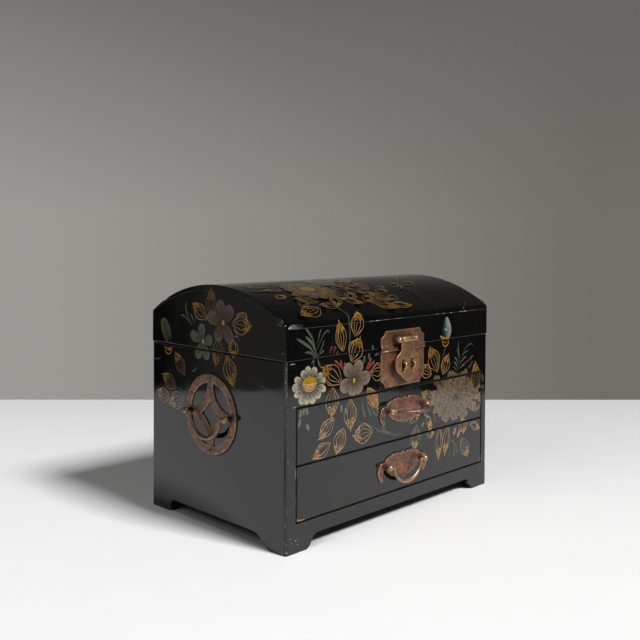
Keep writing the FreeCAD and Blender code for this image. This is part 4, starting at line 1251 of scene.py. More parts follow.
class Design:
    """Painted shapes on a flat surface, in millimetres. Each lies a little above the one before."""

    def __init__(self, seed):
        self.shapes = []
        self.starts = [0]
        self.chance = random.Random(seed)

    def start_group(self):
        self.starts.append(len(self.shapes))

    def settle(self):
        """Lowers each group of strokes until it lies just above what is painted beneath it."""
        done = []
        for first, last in zip(self.starts, self.starts[1:] + [len(self.shapes)]):
            members = self.shapes[first:last]
            if not members:
                continue
            us = [vertex[0] for member in members for vertex in member[0]]
            vs = [vertex[1] for member in members for vertex in member[0]]
            low_u, high_u, low_v, high_v = min(us), max(us), min(vs), max(vs)
            beneath = [0]
            for other, top in done:
                if low_u < other[1] and other[0] < high_u and low_v < other[3] and other[2] < high_v:
                    beneath.append(top)
            drop = (first - max(beneath)) * STROKE_STEP
            for index in range(first, last):
                vertices, *rest = self.shapes[index]
                lowered = [(u, v, height - drop if height > 0.0 else height) for u, v, height in vertices]
                self.shapes[index] = (lowered, *rest)
            done.append(((low_u, high_u, low_v, high_v), max(beneath) + last - first))

    def ribbon(self, line, half_width, colour, paint=PETAL, across=3, crown=0.012, thick=0.0):
        """One brush stroke along a line.

        half_width is a number or a function of the way along it. colour is a colour or a function of the
        way along it and of the place across it, from -1 to 1."""
        height = STROKE_LIFT + thick + STROKE_STEP * len(self.shapes)
        count = len(line)
        spread = [2.0 * step / (across - 1) - 1.0 for step in range(across)]
        vertices, tints = [], []
        for index, (u, v) in enumerate(line):
            along = index / (count - 1)
            before, after = line[max(index - 1, 0)], line[min(index + 1, count - 1)]
            du, dv = after[0] - before[0], after[1] - before[1]
            size = math.hypot(du, dv) or 1.0
            normal = (-dv / size, du / size)
            half = max(half_width(along) if callable(half_width) else half_width, 0.03)
            for side in [-1.0] + spread + [1.0]:
                top = height + crown * (1 - side**2)
                vertices.append((u + normal[0] * half * side, v + normal[1] * half * side, top))
                tints.append(colour(along, side) if callable(colour) else colour)
            for foot in (-across - 2, -1):
                vertices[foot] = vertices[foot][:2] + (STROKE_ROOT,)
        ring = across + 2
        faces = [tuple(range(ring)), tuple((count - 1) * ring + step for step in reversed(range(ring)))]
        for low in range(0, (count - 1) * ring, ring):
            high = low + ring
            for step in range(ring):
                after = (step + 1) % ring
                faces.append((low + step, high + step, high + after, low + after))
        self.shapes.append((vertices, faces, tints, paint))

    def stroke(self, points, width, colour, paint=PETAL, shape=round_stroke, **more):
        """A brush stroke along a smooth line through points."""
        self.ribbon(curve(points), lambda along: width / 2.0 * shape(along), colour, paint, **more)

    def dab(self, centre, length, width, turn, colour, paint=PETAL, **more):
        """A short full stroke."""
        self.start_group()
        reach = Vector((math.cos(math.radians(turn)), math.sin(math.radians(turn)))) * (length / 2.0)
        u, v = centre
        line = [(u + reach.x * share, v + reach.y * share) for share in (-1, -0.75, -0.4, 0, 0.4, 0.75, 1)]
        self.ribbon(line, spindle(width / 2.0, 0.06, 0.88, 0.5), colour, paint, **more)

    def shaky(self, amount):
        return self.chance.uniform(-amount, amount)

    def bud(self, u, v, length, width, turn, kind="line"):
        """A bud outlined in gold: its petals meet in a point, and a scalloped cap ends in a short stalk."""
        self.start_group()
        ahead = Vector((math.cos(math.radians(turn)), math.sin(math.radians(turn))))
        beside = Vector((-ahead.y, ahead.x))
        line_colour = BUD_LINES.get(kind, GOLD_LINE)
        cap_colour = BUD_CAPS.get(kind, GOLD_CAP)

        def at(along, across):
            place = Vector((u, v)) + ahead * ((along - 0.5) * length) + beside * (across * width / 2.0)
            return place.x + self.shaky(0.012) * length, place.y + self.shaky(0.012) * length

        def faded(share, side):
            wave = 0.5 + 0.5 * math.sin(share * 9.0 + u)
            return blend(line_colour, dimmed(line_colour, 0.5), 0.7 * wave * (1.0 - abs(side) * 0.3))

        def line(points, thin):
            path = [at(along, across) for along, across in points]
            self.stroke(path, thin * (1.0 + self.shaky(0.15)), faded, GOLD)

        if kind in ("fill", "hatch", "dark"):
            spine = curve([at(0.08, 0), at(0.5, 0.02), at(0.86, 0)])
            ground = (0.024, 0.018, 0.009) if kind == "dark" else GOLD_DARK
            self.ribbon(spine, spindle(width * 0.42, 0.08, 0.86, 0.7), ground, GOLD, 5)
        side = 1 if self.chance.random() < 0.5 else -1
        for way in (-1, 1):
            rim = [(0.0, 0.05), (0.17, 0.5), (0.42, 0.97), (0.68, 0.86), (0.86, 0.32)]
            line([(along, across * way) for along, across in rim], 0.4)
            line([(0.03, 0.02), (0.25, 0.3 * way), (0.5, 0.5 * way), (0.70, 0.36 * way)], 0.36)
        line([(0.06, 0.2 * side), (0.3, 0.7 * side), (0.52, 0.78 * side), (0.76, 0.55 * side)], 0.3)
        if width > BIG_BUD:
            line([(0.08, 0.0), (0.4, 0.08 * side), (0.68, 0.03)], 0.28)
        if kind == "hatch":
            for step in range(7):
                along = 0.25 + step * 0.085
                line([(along, -0.62), (along + 0.05, 0.0), (along, 0.62)], 0.45)
        self.bud_cap(at, width, side, u, cap_colour)

    def bud_cap(self, at, width, side, phase, colour):
        """The cap at the foot of a bud: scallops and small rings over a dark ground, and a stalk."""
        cap = curve([at(0.7, 0), at(0.84, 0.02), at(0.99, 0)])
        self.ribbon(cap, spindle(width * 0.3, 0.16, 0.78, 0.7), dimmed(colour, 0.2), GOLD, 5)
        for across, start in ((-0.68, 0.72), (-0.34, 0.62), (0.04, 0.66), (0.38, 0.61), (0.68, 0.73)):
            tone = blend(colour, GOLD_LINE, self.chance.random() * 0.5)
            path = [at(0.97, across * 0.12), at(0.87, across * 0.62), at(start, across)]
            self.stroke(path, 0.5, tone, GOLD)
        for along, across in ((0.74, -0.36), (0.83, 0.18), (0.72, 0.42)):
            centre = Vector(at(along, across))
            size = 0.11 * width * (1.0 + self.shaky(0.3))
            turns = [0.9 * step + phase for step in range(7)]
            ring = [(centre.x + size * math.cos(turn), centre.y + size * math.sin(turn)) for turn in turns]
            self.stroke(ring, 0.42, blend(colour, (0.75, 0.52, 0.2), self.chance.random() * 0.5), GOLD)
        self.stroke([at(0.9, 0.1), at(1.0, 0.0), at(1.07, 0.12 * side)], 0.8, colour, GOLD)

    def petal(self, base, tip, width, inner, outer, vein=0.35, bend=0.0, rim_width=0.6):
        """One petal in a dark rim, darker and veined towards its base."""
        base, tip = Vector(base), Vector(tip)
        side = Vector((-(tip - base).y, (tip - base).x)) * bend
        steps = [step / 14.0 for step in range(15)]
        line = [tuple(base.lerp(tip, share) + side * math.sin(math.pi * share)) for share in steps]
        phase = self.chance.uniform(0.0, 6.0)

        def shade(along, across):
            rim = max(abs(across) ** 3, max(along - 0.72, 0.0) * 2.6)
            tone = blend(inner, outer, 0.15 + 0.85 * along + 0.35 * rim)
            streak = 0.5 + 0.5 * math.sin(across * 7.0 + phase)
            return dimmed(tone, 1.0 - vein * streak * (1.0 - 0.7 * along))

        self.ribbon(line, lambda along: width / 2.0 * petal_width(along) + rim_width, SHADE)
        self.ribbon(line, lambda along: width / 2.0 * petal_width(along), shade, PETAL, 9, 0.02)

    def flower(self, centre, petals, width, inner, outer, start=3.0, **more):
        """Petals that run from near the centre to the places given."""
        self.start_group()
        for place in petals:
            way = (Vector(place) - Vector(centre)).normalized()
            self.petal(Vector(centre) + way * start, place, width, inner, outer, **more)

    def eye(self, centre, across, up, colour):
        """A round heart, as one broad stroke upwards."""
        rows = [2.0 * step / 10.0 - 1.0 for step in range(11)]
        line = [(centre[0], centre[1] + up * row * 0.999) for row in rows]

        def half(along):
            return across * math.sqrt(max(1 - (2 * along - 1) ** 2, 0.0))

        self.ribbon(line, half, colour, PETAL, 7, 0.03)

    def daisy(self, centre, across, up, count):
        """Broad cream petals, with three teal lines on each, round a yellow disc with red strokes."""
        self.start_group()
        for step in range(count):
            angle = 2.0 * math.pi * (step + 0.35) / count + self.shaky(0.06)
            reach = 1.0 + self.shaky(0.07)
            way = Vector((math.cos(angle) * across, math.sin(angle) * up))
            base, tip = Vector(centre) + way * 0.36, Vector(centre) + way * reach
            broad = 0.35 + 0.06 * math.sin(angle) ** 2 + self.shaky(0.05)
            tone = blend(CREAM, CREAM_WARM, 0.5 - 0.6 * math.sin(angle) + self.shaky(0.3))
            self.petal(base, tip, broad * across, (0.012, 0.034, 0.032), tone, 0.6, self.shaky(0.08), 0.8)
            for side in (-0.09, 0.02, 0.11):
                aside = Vector((-math.sin(angle) * across, math.cos(angle) * up)) * side
                shares = (0.4, 0.52, 0.62, 0.72 + self.shaky(0.1))
                shadow = [tuple(Vector(centre) + aside * (0.6 + share) + way * share) for share in shares]
                self.stroke(shadow, 0.032 * across, TEAL, PETAL, thick=0.03)

        def disc(along, side):
            return blend(YELLOW, (0.30, 0.13, 0.02), 1.1 - 2.0 * along)

        self.eye((centre[0], centre[1] + 1.6), across * 0.44, up * 0.42, disc)
        for step in range(5):
            drop = centre[1] + 1.2 - step * 1.5
            half = across * (0.4 - 0.045 * step)
            low = (centre[0], drop + self.shaky(0.5))
            points = [(centre[0] - half, drop + 1.2), low, (centre[0] + half, drop + 0.7)]
            tone = blend((0.42, 0.12, 0.04), (0.66, 0.47, 0.30), self.chance.random())
            self.stroke(points, 0.6, tone, GOLD, thick=0.05)

    def mum(self, centre, across, up):
        """A full-blown chrysanthemum: rings of ragged petals round a small ochre heart."""
        self.start_group()
        for ring, (reach, count, width) in enumerate(MUM_RINGS):
            for step in range(count):
                angle = 2.0 * math.pi * (step + 0.5 * ring) / count + self.shaky(0.09)
                far = reach * (1.0 + self.shaky(0.1))
                way = Vector((math.cos(angle) * across, math.sin(angle) * up))
                base, tip = Vector(centre) + way * max(reach - 0.6, 0.04), Vector(centre) + way * far
                # Low petals are painted paler, for the pale table's reflection.
                low = (MUM_SHEEN_EDGE - base.y) / 5.0
                tone = blend(blend(MUM, MUM_PALE, self.chance.random() * 0.8), MUM_SHEENED, low)
                self.petal(base, tip, width * across, MUM_DARK, tone, 0.6, self.shaky(0.22), 0.22)
        self.eye((centre[0] - 4.0, centre[1] + 9.0), across * 0.09, up * 0.16, (0.15, 0.088, 0.03))

    def leaf_strokes(self, strokes, dark, pale):
        """Strokes of a fern or a tuft of grass, each (width, point, point, ...), pale down the middle."""
        self.start_group()
        for width, *points in strokes:
            tone = blend(dark, pale, self.chance.random())
            self.stroke(points, width, lit_middle(tone, pale), shape=pressed_stroke)

    def tipped(self, width, root, reach, start, strokes):
        """Strokes that turn pink towards their tips. The share of pink is start + reach * along."""
        for points in strokes:
            self.stroke(points, width, lambda along, side: blend(root, PINK, along * reach + start))

    def ragged_mark(self, line, width, colour, jag=0.35):
        """A ragged mark in the matte finish: a chip in the lacquer, and in some places a painted highlight.
        """
        full = spindle(1.0, 0.04, 0.92, 0.4)

        def ragged(along):
            return width / 2.0 * (1.0 - jag * self.chance.random()) * full(along)

        self.ribbon(line, ragged, colour, MATTE_MARKS, 3, 0.0, 0.02)


def star(centre, count, across, up, turn=0.0):
    """The tips of a flower's petals, evenly round its centre. The turn is in degrees."""
    angles = [math.radians(360.0 / count * step + turn) for step in range(count)]
    return [(centre[0] + across * math.cos(angle), centre[1] + up * math.sin(angle)) for angle in angles]


SHARP_TURN = math.radians(25)


def paint_on(name, body, design, place, window):
    """Lays a design on a surface, cut off square at a window: low u, high u, low v, high v."""
    low_u, high_u, low_v, high_v = window
    skin = bmesh.new()
    tint_layer = skin.verts.layers.float_color.new("paint")
    for vertices, faces, tints, paint in design.shapes:
        us = [vertex[0] for vertex in vertices]
        vs = [vertex[1] for vertex in vertices]
        if max(us) <= low_u or min(us) >= high_u or max(vs) <= low_v or min(vs) >= high_v:
            continue
        made = []
        for vertex, tint in zip(vertices, tints):
            point = skin.verts.new(vertex)
            point[tint_layer] = tuple(tint) + (1.0,)
            made.append(point)
        for face in faces:
            side = skin.faces.new([made[index] for index in face])
            side.material_index = paint
            side.smooth = True
    low, high = (low_u, low_v, 0), (high_u, high_v, 0)
    for at, outward in ((low, (-1, 0, 0)), (high, (1, 0, 0)), (low, (0, -1, 0)), (high, (0, 1, 0))):
        everything = list(skin.verts) + list(skin.edges) + list(skin.faces)
        plane = dict(plane_co=at, plane_no=outward)
        bmesh.ops.bisect_plane(skin, geom=everything, dist=1e-5, clear_outer=True, **plane)
        open_edges = [edge for edge in skin.edges if edge.is_boundary]
        bmesh.ops.holes_fill(skin, edges=open_edges, sides=0)
    bmesh.ops.recalc_face_normals(skin, faces=skin.faces)
    for edge in skin.edges:
        edge.smooth = len(edge.link_faces) == 2 and edge.calc_face_angle(0.0) < SHARP_TURN
    for vertex in skin.verts:
        vertex.co = place(*vertex.co)
    bmesh.ops.recalc_face_normals(skin, faces=skin.faces)
    mesh = bpy.data.meshes.new(name)
    skin.to_mesh(mesh)
    skin.free()
    for finish in ornament_paints:
        mesh.materials.append(finish)
    add_piece(name, mesh, body)


def on_front(x, z, height):
    return Vector((x * MM, front_y - height * MM, z * MM))


def on_left(y, z, height):
    return Vector((left_x - height * MM, y * MM, z * MM))


def on_right(y, z, height):
    return Vector((right_x + height * MM, y * MM, z * MM))


def on_lid(x, run, height):
    """The lid's front, its rounded eave and its dome, unrolled: run is the way up along the surface."""
    way = run * MM
    turn_run = EAVE_ROUND * eave_turn
    if way <= eave_height:
        return on_front(x, run, height)
    if way <= eave_height + turn_run:
        angle = (way - eave_height) / EAVE_ROUND
        radius = EAVE_ROUND + height * MM
        depth = middle_y - eave_middle - radius * math.cos(angle)
        return Vector((x * MM, depth, eave_height + radius * math.sin(angle)))
    angle = eave_turn + (way - eave_height - turn_run) / arch_radius
    radius = arch_radius + height * MM
    return Vector((x * MM, middle_y - radius * math.cos(angle), arch_z + radius * math.sin(angle)))


FRONT_BUDS = [
    (-84, 184, 28, 14, 101, "line"),
    (-62, 194, 24, 18, 78, "line"),
    (-64, 170, 24, 20, 60, "line"),
    (-95, 150, 30, 19, 146, "line"),
    (-95, 126, 26, 17, 265, "line"),
    (-102, 103, 25, 14, 220, "line"),
    (-108, 84, 24, 13, 205, "line"),
    (-85, 89, 24, 16, 245, "line"),
    (-71, 111, 28, 17, 269, "line"),
    (-53, 90, 27, 19, 180, "line"),
    (-40, 122, 26, 14, 305, "hatch"),
    (-33, 146, 20, 17, 0, "line"),
    (43, 138, 20, 14, 150, "line"),
    (56, 148, 29, 19, 118, "red"),
    (76, 141, 22, 14, 65, "line"),
    (131, 122, 30, 17, 92, "dark"),
    (133, 93, 22, 16, 60, "pale"),
    (50, 81, 10, 6, 80, "fill"),
    (46, 111, 22, 14, 150, "line"),
    (26, 73, 24, 15, 262, "pale"),
    (65, 61, 32, 12, 268, "line"),
    (78, 62, 30, 12, 258, "line"),
    (108, 72, 16, 16, 270, "line"),
    (130, 68, 20, 9, 335, "line"),
    (111, 48, 24, 15, 300, "pale"),
    (24, 92, 16, 8, 20, "pale"),
    (50, 73, 12, 10, 350, "pale"),
    (47, 87, 12, 8, 300, "pale"),
]

LEFT_FERN = [
    (3.0, (-116, 168), (-124, 178), (-140, 187)),
    (2.4, (-116, 172), (-121, 186), (-130, 196)),
    (2.6, (-115, 170), (-121, 181), (-129, 188)),
    (2.2, (-117, 168), (-123, 173), (-130, 174)),
    (1.4, (-115, 174), (-108, 186), (-102, 191), (-99, 189)),
    (1.3, (-115, 178), (-112, 188), (-110, 193)),
    (1.6, (-113, 171), (-109, 176), (-106, 183)),
    (1.4, (-114, 169), (-109, 172), (-106, 174)),
    (1.8, (-116, 176), (-118, 168), (-122, 163)),
    (1.8, (-115, 172), (-113, 164), (-110, 159)),
    (1.6, (-117, 170), (-119, 161), (-115, 158)),
]

RIGHT_FERN = [
    (1.8, (100, 134), (101, 146), (99, 156), (99, 164)),
    (2.2, (101, 143), (99, 150), (96, 156)),
    (2.2, (99, 138), (96, 144), (92, 147)),
    (2.2, (98, 133), (95, 139), (91, 143)),
    (1.8, (98, 131), (93, 135), (90, 138)),
    (2.2, (102, 139), (108, 144), (113, 146)),
    (2.4, (101, 134), (107, 137), (111, 138)),
    (1.2, (105, 147), (112, 155), (121, 159), (126, 157)),
    (1.4, (104, 146), (110, 150), (117, 152)),
]

GRASS = [
    (3.4, (-55, 122), (-53, 112), (-50, 105)),
    (3.2, (-49, 121), (-46, 113), (-41, 104)),
    (3.0, (-38, 118), (-32, 108), (-26, 100)),
    (1.6, (-60, 103), (-44, 97), (-28, 88), (-6, 81), (8, 80)),
    (1.6, (-36, 102), (-26, 94), (-18, 84)),
    (1.4, (-29, 99), (-24, 88), (-8, 84)),
    (2.6, (-44, 119), (-38, 108), (-31, 103)),
    (1.8, (52, 98), (57, 90), (60, 82)),
    (1.6, (100, 45), (95, 52), (90, 58), (84, 60)),
    (1.8, (91, 57), (93, 48), (91, 40)),
    (1.5, (99, 57), (97, 50), (99, 43)),
    (1.5, (86, 52), (84, 46), (80, 43)),
]

DABS = [
    (-135, 121, 7, 2.6, 80),
    (-131, 122, 6, 2.8, 75),
    (-127, 122, 6, 2.8, 100),
    (-136, 113, 7, 2.8, 75),
    (-126, 108, 7, 3.0, 115),
    (-83, 118, 7, 3.0, 95),
    (-77, 115, 6, 2.6, 105),
    (-52, 160, 7, 3.4, 80),
    (-45, 162, 6, 3.2, 100),
    (-40, 170, 5, 2.8, 90),
    (-34, 163, 7, 2.0, 10),
    (145, 119, 8, 3.6, 100),
    (145, 109, 6, 4.2, 10),
    (38, 84, 6, 3.0, 40),
    (44, 92, 6, 3.0, 120),
]


# Petals that are pink at their tips: width, the colour at the root, reach and start of the pink, and strokes
PINK_TIPS = (
    (2.4, (0.06, 0.016, 0.012), 0.7, -0.2, (
        ((-99, 170), (-97, 174), (-95, 176)),
        ((-94, 169), (-92, 174), (-91, 176)),
        ((-90, 168), (-88, 171)),
    )),
    (2.8, RUST, 1.0, -0.6, (
        ((-79, 153), (-85, 158), (-92, 163)),
        ((-80, 152), (-83, 157), (-84, 163)),
        ((-78, 154), (-79, 160)),
    )),
    (3.0, RUST, 1.0, -0.55, (
        ((-51, 148), (-46, 154), (-42, 160)),
        ((-49, 150), (-43, 153), (-37, 157)),
        ((-47, 146), (-41, 149)),
    )),
    (2.2, (0.05, 0.028, 0.02), 0.25, 0.0, (
        ((110, 139), (118, 141), (123, 144), (127, 146)),
        ((116, 133), (121, 135), (125, 139)),
    )),
)

DIM_END = 140.0  # the dabs further to the right than this are dim
SHINE_EDGE = 127.0  # below this height the front mirrors the pale table, and the paint there is painted paler for that reflection


def draw_front():
    """The painting of the whole front, from the lid's eave to the feet, as (x, z)."""
    design = Design(11)
    design.leaf_strokes(LEFT_FERN, LEAF, LEAF_PALE)
    design.leaf_strokes(RIGHT_FERN, LEAF, blend(LEAF, LEAF_PALE, 0.6))
    design.leaf_strokes(GRASS, (0.035, 0.04, 0.022), (0.075, 0.082, 0.048))
    design.stroke([(-77, 221), (-75, 208), (-73, 195), (-72, 182), (-73, 171)], 2.0, LEAF)
    design.stroke([(75, 162), (74, 155), (70, 149)], 1.6, LEAF)
    for tips in PINK_TIPS:
        design.tipped(*tips)
    for at in (60, 64, 84, 89, 95, 108, 113):
        ragged = design.shaky(2.0)
        design.petal((at - ragged, 120), (at + ragged, 131.5 + ragged), 7, MUM_DARK, MUM_PALE, 0.6, 0.1, 0.45)
    design.mum((95, 104), 43.0, 26.0)
    # Dabs below the shine edge are painted paler, for the pale table's reflection.
    for u, v, length, width, turn in DABS:
        dim = v > SHINE_EDGE or u > DIM_END
        design.dab((u, v), length, width, turn, DIM_DAB if dim else PALE_DAB)
    for at in ((93, 68), (100, 64)):
        design.dab(at, 8, 4, 60, (0.22, 0.12, 0.1))
    design.daisy((-124, 144), 20.5, 17.0, 13)
    places = ((-78, 158), (-57, 160), (-43, 143), (-56, 130), (-69, 128), (-85, 136))
    design.flower((-66, 142), places, 13.5, TAUPE_DARK, TAUPE_PALE, 1.5, vein=0.4, rim_width=1.1)
    design.eye((-66, 141.5), 2.4, 2.4, (0.26, 0.24, 0.025))
    for u, v, length, width, turn, kind in FRONT_BUDS:
        # Gold lines below the shine edge are painted paler, for the pale table's reflection.
        if kind == "line" and v < SHINE_EDGE:
            kind = "cream"
        design.bud(u, v, length, width, turn, kind)
    draw_teal_bud(design)
    design.settle()
    return design


def draw_teal_bud(design):
    """The bud by the lock, dark teal on one side and pale on the other, in a gold cup."""
    line = curve([(76.6, 170.5), (77.6, 175), (77.6, 182), (76.6, 191)])

    def shade(along, across):
        tone = blend((0.012, 0.034, 0.033), (0.19, 0.22, 0.195), 0.42 - 1.0 * across + 0.35 * along * along)
        return dimmed(tone, 0.7 + 0.4 * along)

    design.ribbon(line, spindle(7.7, 0.17, 0.8, 0.75), shade, PETAL, 11, 0.03)
    design.dab((76, 178), 3.6, 1.9, 0, (0.30, 0.37, 0.37), thick=0.035)
    design.dab((78.6, 184), 6.0, 1.2, 84, (0.20, 0.24, 0.215), thick=0.035)
    design.stroke([(66, 172), (71, 169.5), (77, 168.6), (83, 169.5)], 3.0, (0.30, 0.17, 0.03), GOLD)
    design.stroke([(69.5, 169), (71.5, 162.5), (75.5, 160.3), (80, 162.5), (81.5, 168)], 0.9, GOLD_CAP, GOLD)
    design.stroke([(72, 166), (75.5, 164.2), (79, 166)], 0.9, (0.32, 0.12, 0.03), GOLD)


LEFT_BUDS = [
    (14, 211, 28, 15, 88, "dull"),
    (31, 203, 26, 15, 30, "line"),
    (63, 149, 26, 14, 52, "far"),
    (81, 130, 25, 15, 28, "far"),
    (68, 113, 26, 17, 338, "pale"),
    (91, 115, 22, 15, 15, "pale"),
    (-30, 195, 26, 18, 180, "line"),
    (-19, 173, 16, 13, 270, "line"),
    (-14, 152, 28, 18, 250, "line"),
    (4, 168, 28, 15, 282, "dull"),
]


def draw_side():
    """The painting of the left end, as (y, z). The right end has the same one."""
    design = Design(23)
    tuft = [
        (1.6, (44, 188), (49, 196), (54, 204), (53, 211)),
        (1.5, (46, 190), (54, 196), (62, 198)),
        (1.6, (40, 189), (43, 196), (46, 200)),
        (1.4, (38, 192), (38, 198), (41, 204)),
        (1.4, (-26, 183), (-22, 188), (-19, 190)),
        (1.4, (-28, 180), (-24, 184), (-17, 183)),
        (1.6, (36, 150), (39, 146), (44, 144)),
        (1.3, (96, 152), (102, 150), (108, 151)),
    ]
    design.leaf_strokes(tuft, (0.04, 0.05, 0.04), (0.10, 0.115, 0.085))
    places = ((29, 192), (46, 181), (36, 158), (19, 158), (12, 178))
    design.flower((27, 175), places, 11.0, (0.040, 0.046, 0.033), SAGE_PALE, 1.5, vein=0.45, rim_width=0.8)
    design.eye((26, 175), 2.2, 2.0, (0.30, 0.30, 0.05))
    places = ((2, 216), (20, 200), (7, 178), (-16, 177), (-17, 211))
    design.flower((-5, 195), places, 13.0, TAUPE_DARK, dimmed(TAUPE, 0.72), 1.5, vein=0.5, rim_width=0.8)
    design.eye((-4, 195), 1.9, 2.6, (0.32, 0.25, 0.03))

    def olive(along, across):
        centre = 1.0 - min(abs(across) * 2.2, 1.0)
        tone = blend((0.03, 0.034, 0.022), (0.085, 0.078, 0.048), along)
        return blend(tone, (0.035, 0.024, 0.011), 0.75 * centre)

    bulb = curve([(82, 171), (87, 181), (93, 192)])
    design.ribbon(bulb, spindle(7.4, 0.1, 0.84, 0.7), olive, PETAL, 9)
    design.stroke([(78, 170), (83, 168), (88, 170)], 2.0, GOLD_DARK, GOLD)
    rim = [(76, 165), (80, 158), (86, 158), (89, 165)]
    for points in (rim, [(79, 165), (82, 161), (86, 164)], [(78, 162), (84, 163)]):
        design.stroke(points, 0.9, GOLD_CAP, GOLD)
    for y, z, length, width, turn, kind in LEFT_BUDS:
        design.bud(y, z, length, width, turn, kind)
    design.stroke([(-38, 199), (-37, 205), (-30, 206), (-22, 203)], 0.7, PALE_GOLD, GOLD)
    design.settle()
    return design


DOME_BUDS = [
    (-113, 15, 32, 17, 198, "line"),
    (-123, 47, 16, 10, 20, "line"),
    (-100, 36, 24, 14, 150, "dull"),
    (-67, 30, 22, 12, 235, "line"),
    (-47, 28, 24, 13, 330, "line"),
    (-37, 39, 18, 12, 40, "line"),
    (-25, 51, 20, 12, 60, "dull"),
    (-12, 18, 34, 19, 330, "line"),
    (-2, 33, 24, 14, 120, "line"),
    (12, 13, 26, 12, 350, "line"),
    (3, 62, 22, 14, 80, "red"),
    (-10, 47, 20, 12, 200, "dull"),
    (52, 59, 20, 12, 30, "dull"),
    (78, 62, 26, 14, 20, "dull"),
    (24, 55, 14, 9, 10, "dull"),
    (88, 84, 20, 12, 60, "dull"),
    (-52, 38, 20, 12, 190, "dull"),
    (-22, 30, 22, 12, 30, "dull"),
    (-33, 62, 20, 11, 15, "dull"),
    (-16, 66, 22, 12, 350, "dull"),
    (14, 44, 22, 12, 15, "dull"),
    (14, 28, 22, 11, 200, "dull"),
    (-82, 22, 22, 12, 170, "dull"),
    (-98, 50, 18, 11, 190, "dull"),
    (-116, 66, 20, 10, 170, "dull"),
    (-126, 80, 20, 10, 160, "dull"),
    (-110, 30, 18, 11, 30, "dull"),
    (-50, 58, 18, 10, 300, "dull"),
    (-7, 78, 20, 11, 20, "dull"),
]


DOME_PETALS = 12
DOME_TONE = 0.66  # the dome's paint is duller than the front's


def draw_dome(first_run):
    """The dome's painting. It is drawn as (across, way up from the eave), and then moved up to the eave."""
    design = Design(37)
    leaves = [
        (3.0, (-100, 70), (-118, 78), (-138, 84)),
        (5.0, (-98, 76), (-112, 88), (-124, 100)),
        (4.0, (-96, 84), (-103, 97), (-106, 108)),
        (3.0, (-104, 60), (-122, 64), (-142, 66)),
        (2.6, (-77, 12), (-76, 18), (-74, 25)),
        (1.6, (45, 46), (62, 62), (84, 82), (110, 102)),
        (3.4, (46, 45), (54, 50), (62, 58)),
        (1.2, (60, 8), (58, 24), (60, 38), (57, 50)),
        (3.0, (20, 82), (38, 90), (60, 92)),
        (3.0, (-84, 36), (-90, 42), (-88, 48)),
        (2.4, (-60, 40), (-52, 46), (-44, 47)),
        (1.2, (108, 3), (111, 5), (113, 8)),
    ]
    design.leaf_strokes(leaves, LEAF, SAGE)
    centre = (-74, 63)
    for ring, (reach, tone) in enumerate(((29.0, (0.10, 0.068, 0.036)), (21.0, (0.16, 0.112, 0.064)))):
        places = []
        for step in range(DOME_PETALS):
            angle = 2.0 * math.pi * (step + 0.5 * ring) / DOME_PETALS
            places.append((centre[0] + reach * math.cos(angle), centre[1] + reach * 0.95 * math.sin(angle)))
        design.flower(centre, places, 14.0 - 3.0 * ring, MUM_DARK, tone, 5.0, vein=0.45)
        for u, v in places:
            way = Vector((u - centre[0], v - centre[1])).normalized()
            side = Vector((-way.y, way.x))
            for share in (-0.3, 0.25):
                tip = Vector((u, v)) - way * 1.5 + side * share * 6.0
                base = tip - way * (8.0 + design.shaky(2.0)) - side * share * 3.0
                middle = (base + tip) / 2.0 + side * share
                design.stroke([tuple(base), tuple(middle), tuple(tip)], 0.7, GOLD_DULL, GOLD)
    design.eye(centre, 9.0, 8.0, (0.27, 0.155, 0.035))
    places = star((-35, 85), 5, 18, 17, 20)
    design.flower((-35, 85), places, 17.0, (0.10, 0.12, 0.07), SAGE_PALE, 2.0, vein=0.3)
    design.eye((-35, 85), 2.6, 2.6, (0.2, 0.17, 0.03))
    design.flower((-2, 92), star((-2, 92), 5, 17, 15), 15.0, TAUPE_DARK, TAUPE_PALE, 2.0, vein=0.3)
    for u, v, length, width, turn, kind in DOME_BUDS:
        design.bud(u, v, length, width, turn, kind)
    design.settle()
    moved = []
    for vertices, faces, tints, paint in design.shapes:
        dull = [dimmed(tint, DOME_TONE) for tint in tints]
        moved.append(([(u, v + first_run, h) for u, v, h in vertices], faces, dull, paint))
    design.shapes = moved
    return design


DRAWER_GAP = 1.0  # between a drawer's front and the opening round it
PAINT_EDGE = 0.35  # the paint stops this far from a board's edge
GAP_EDGE = 0.7  # and this far from the gaps above and below a drawer
LID_TOP = 240.0  # past the highest paint of the lid's front and ends
DOME_START = 198.6  # how far up the lid's front, and over its eave, the dome's painting starts
DOME_END = 330.0  # past the dome's highest paint


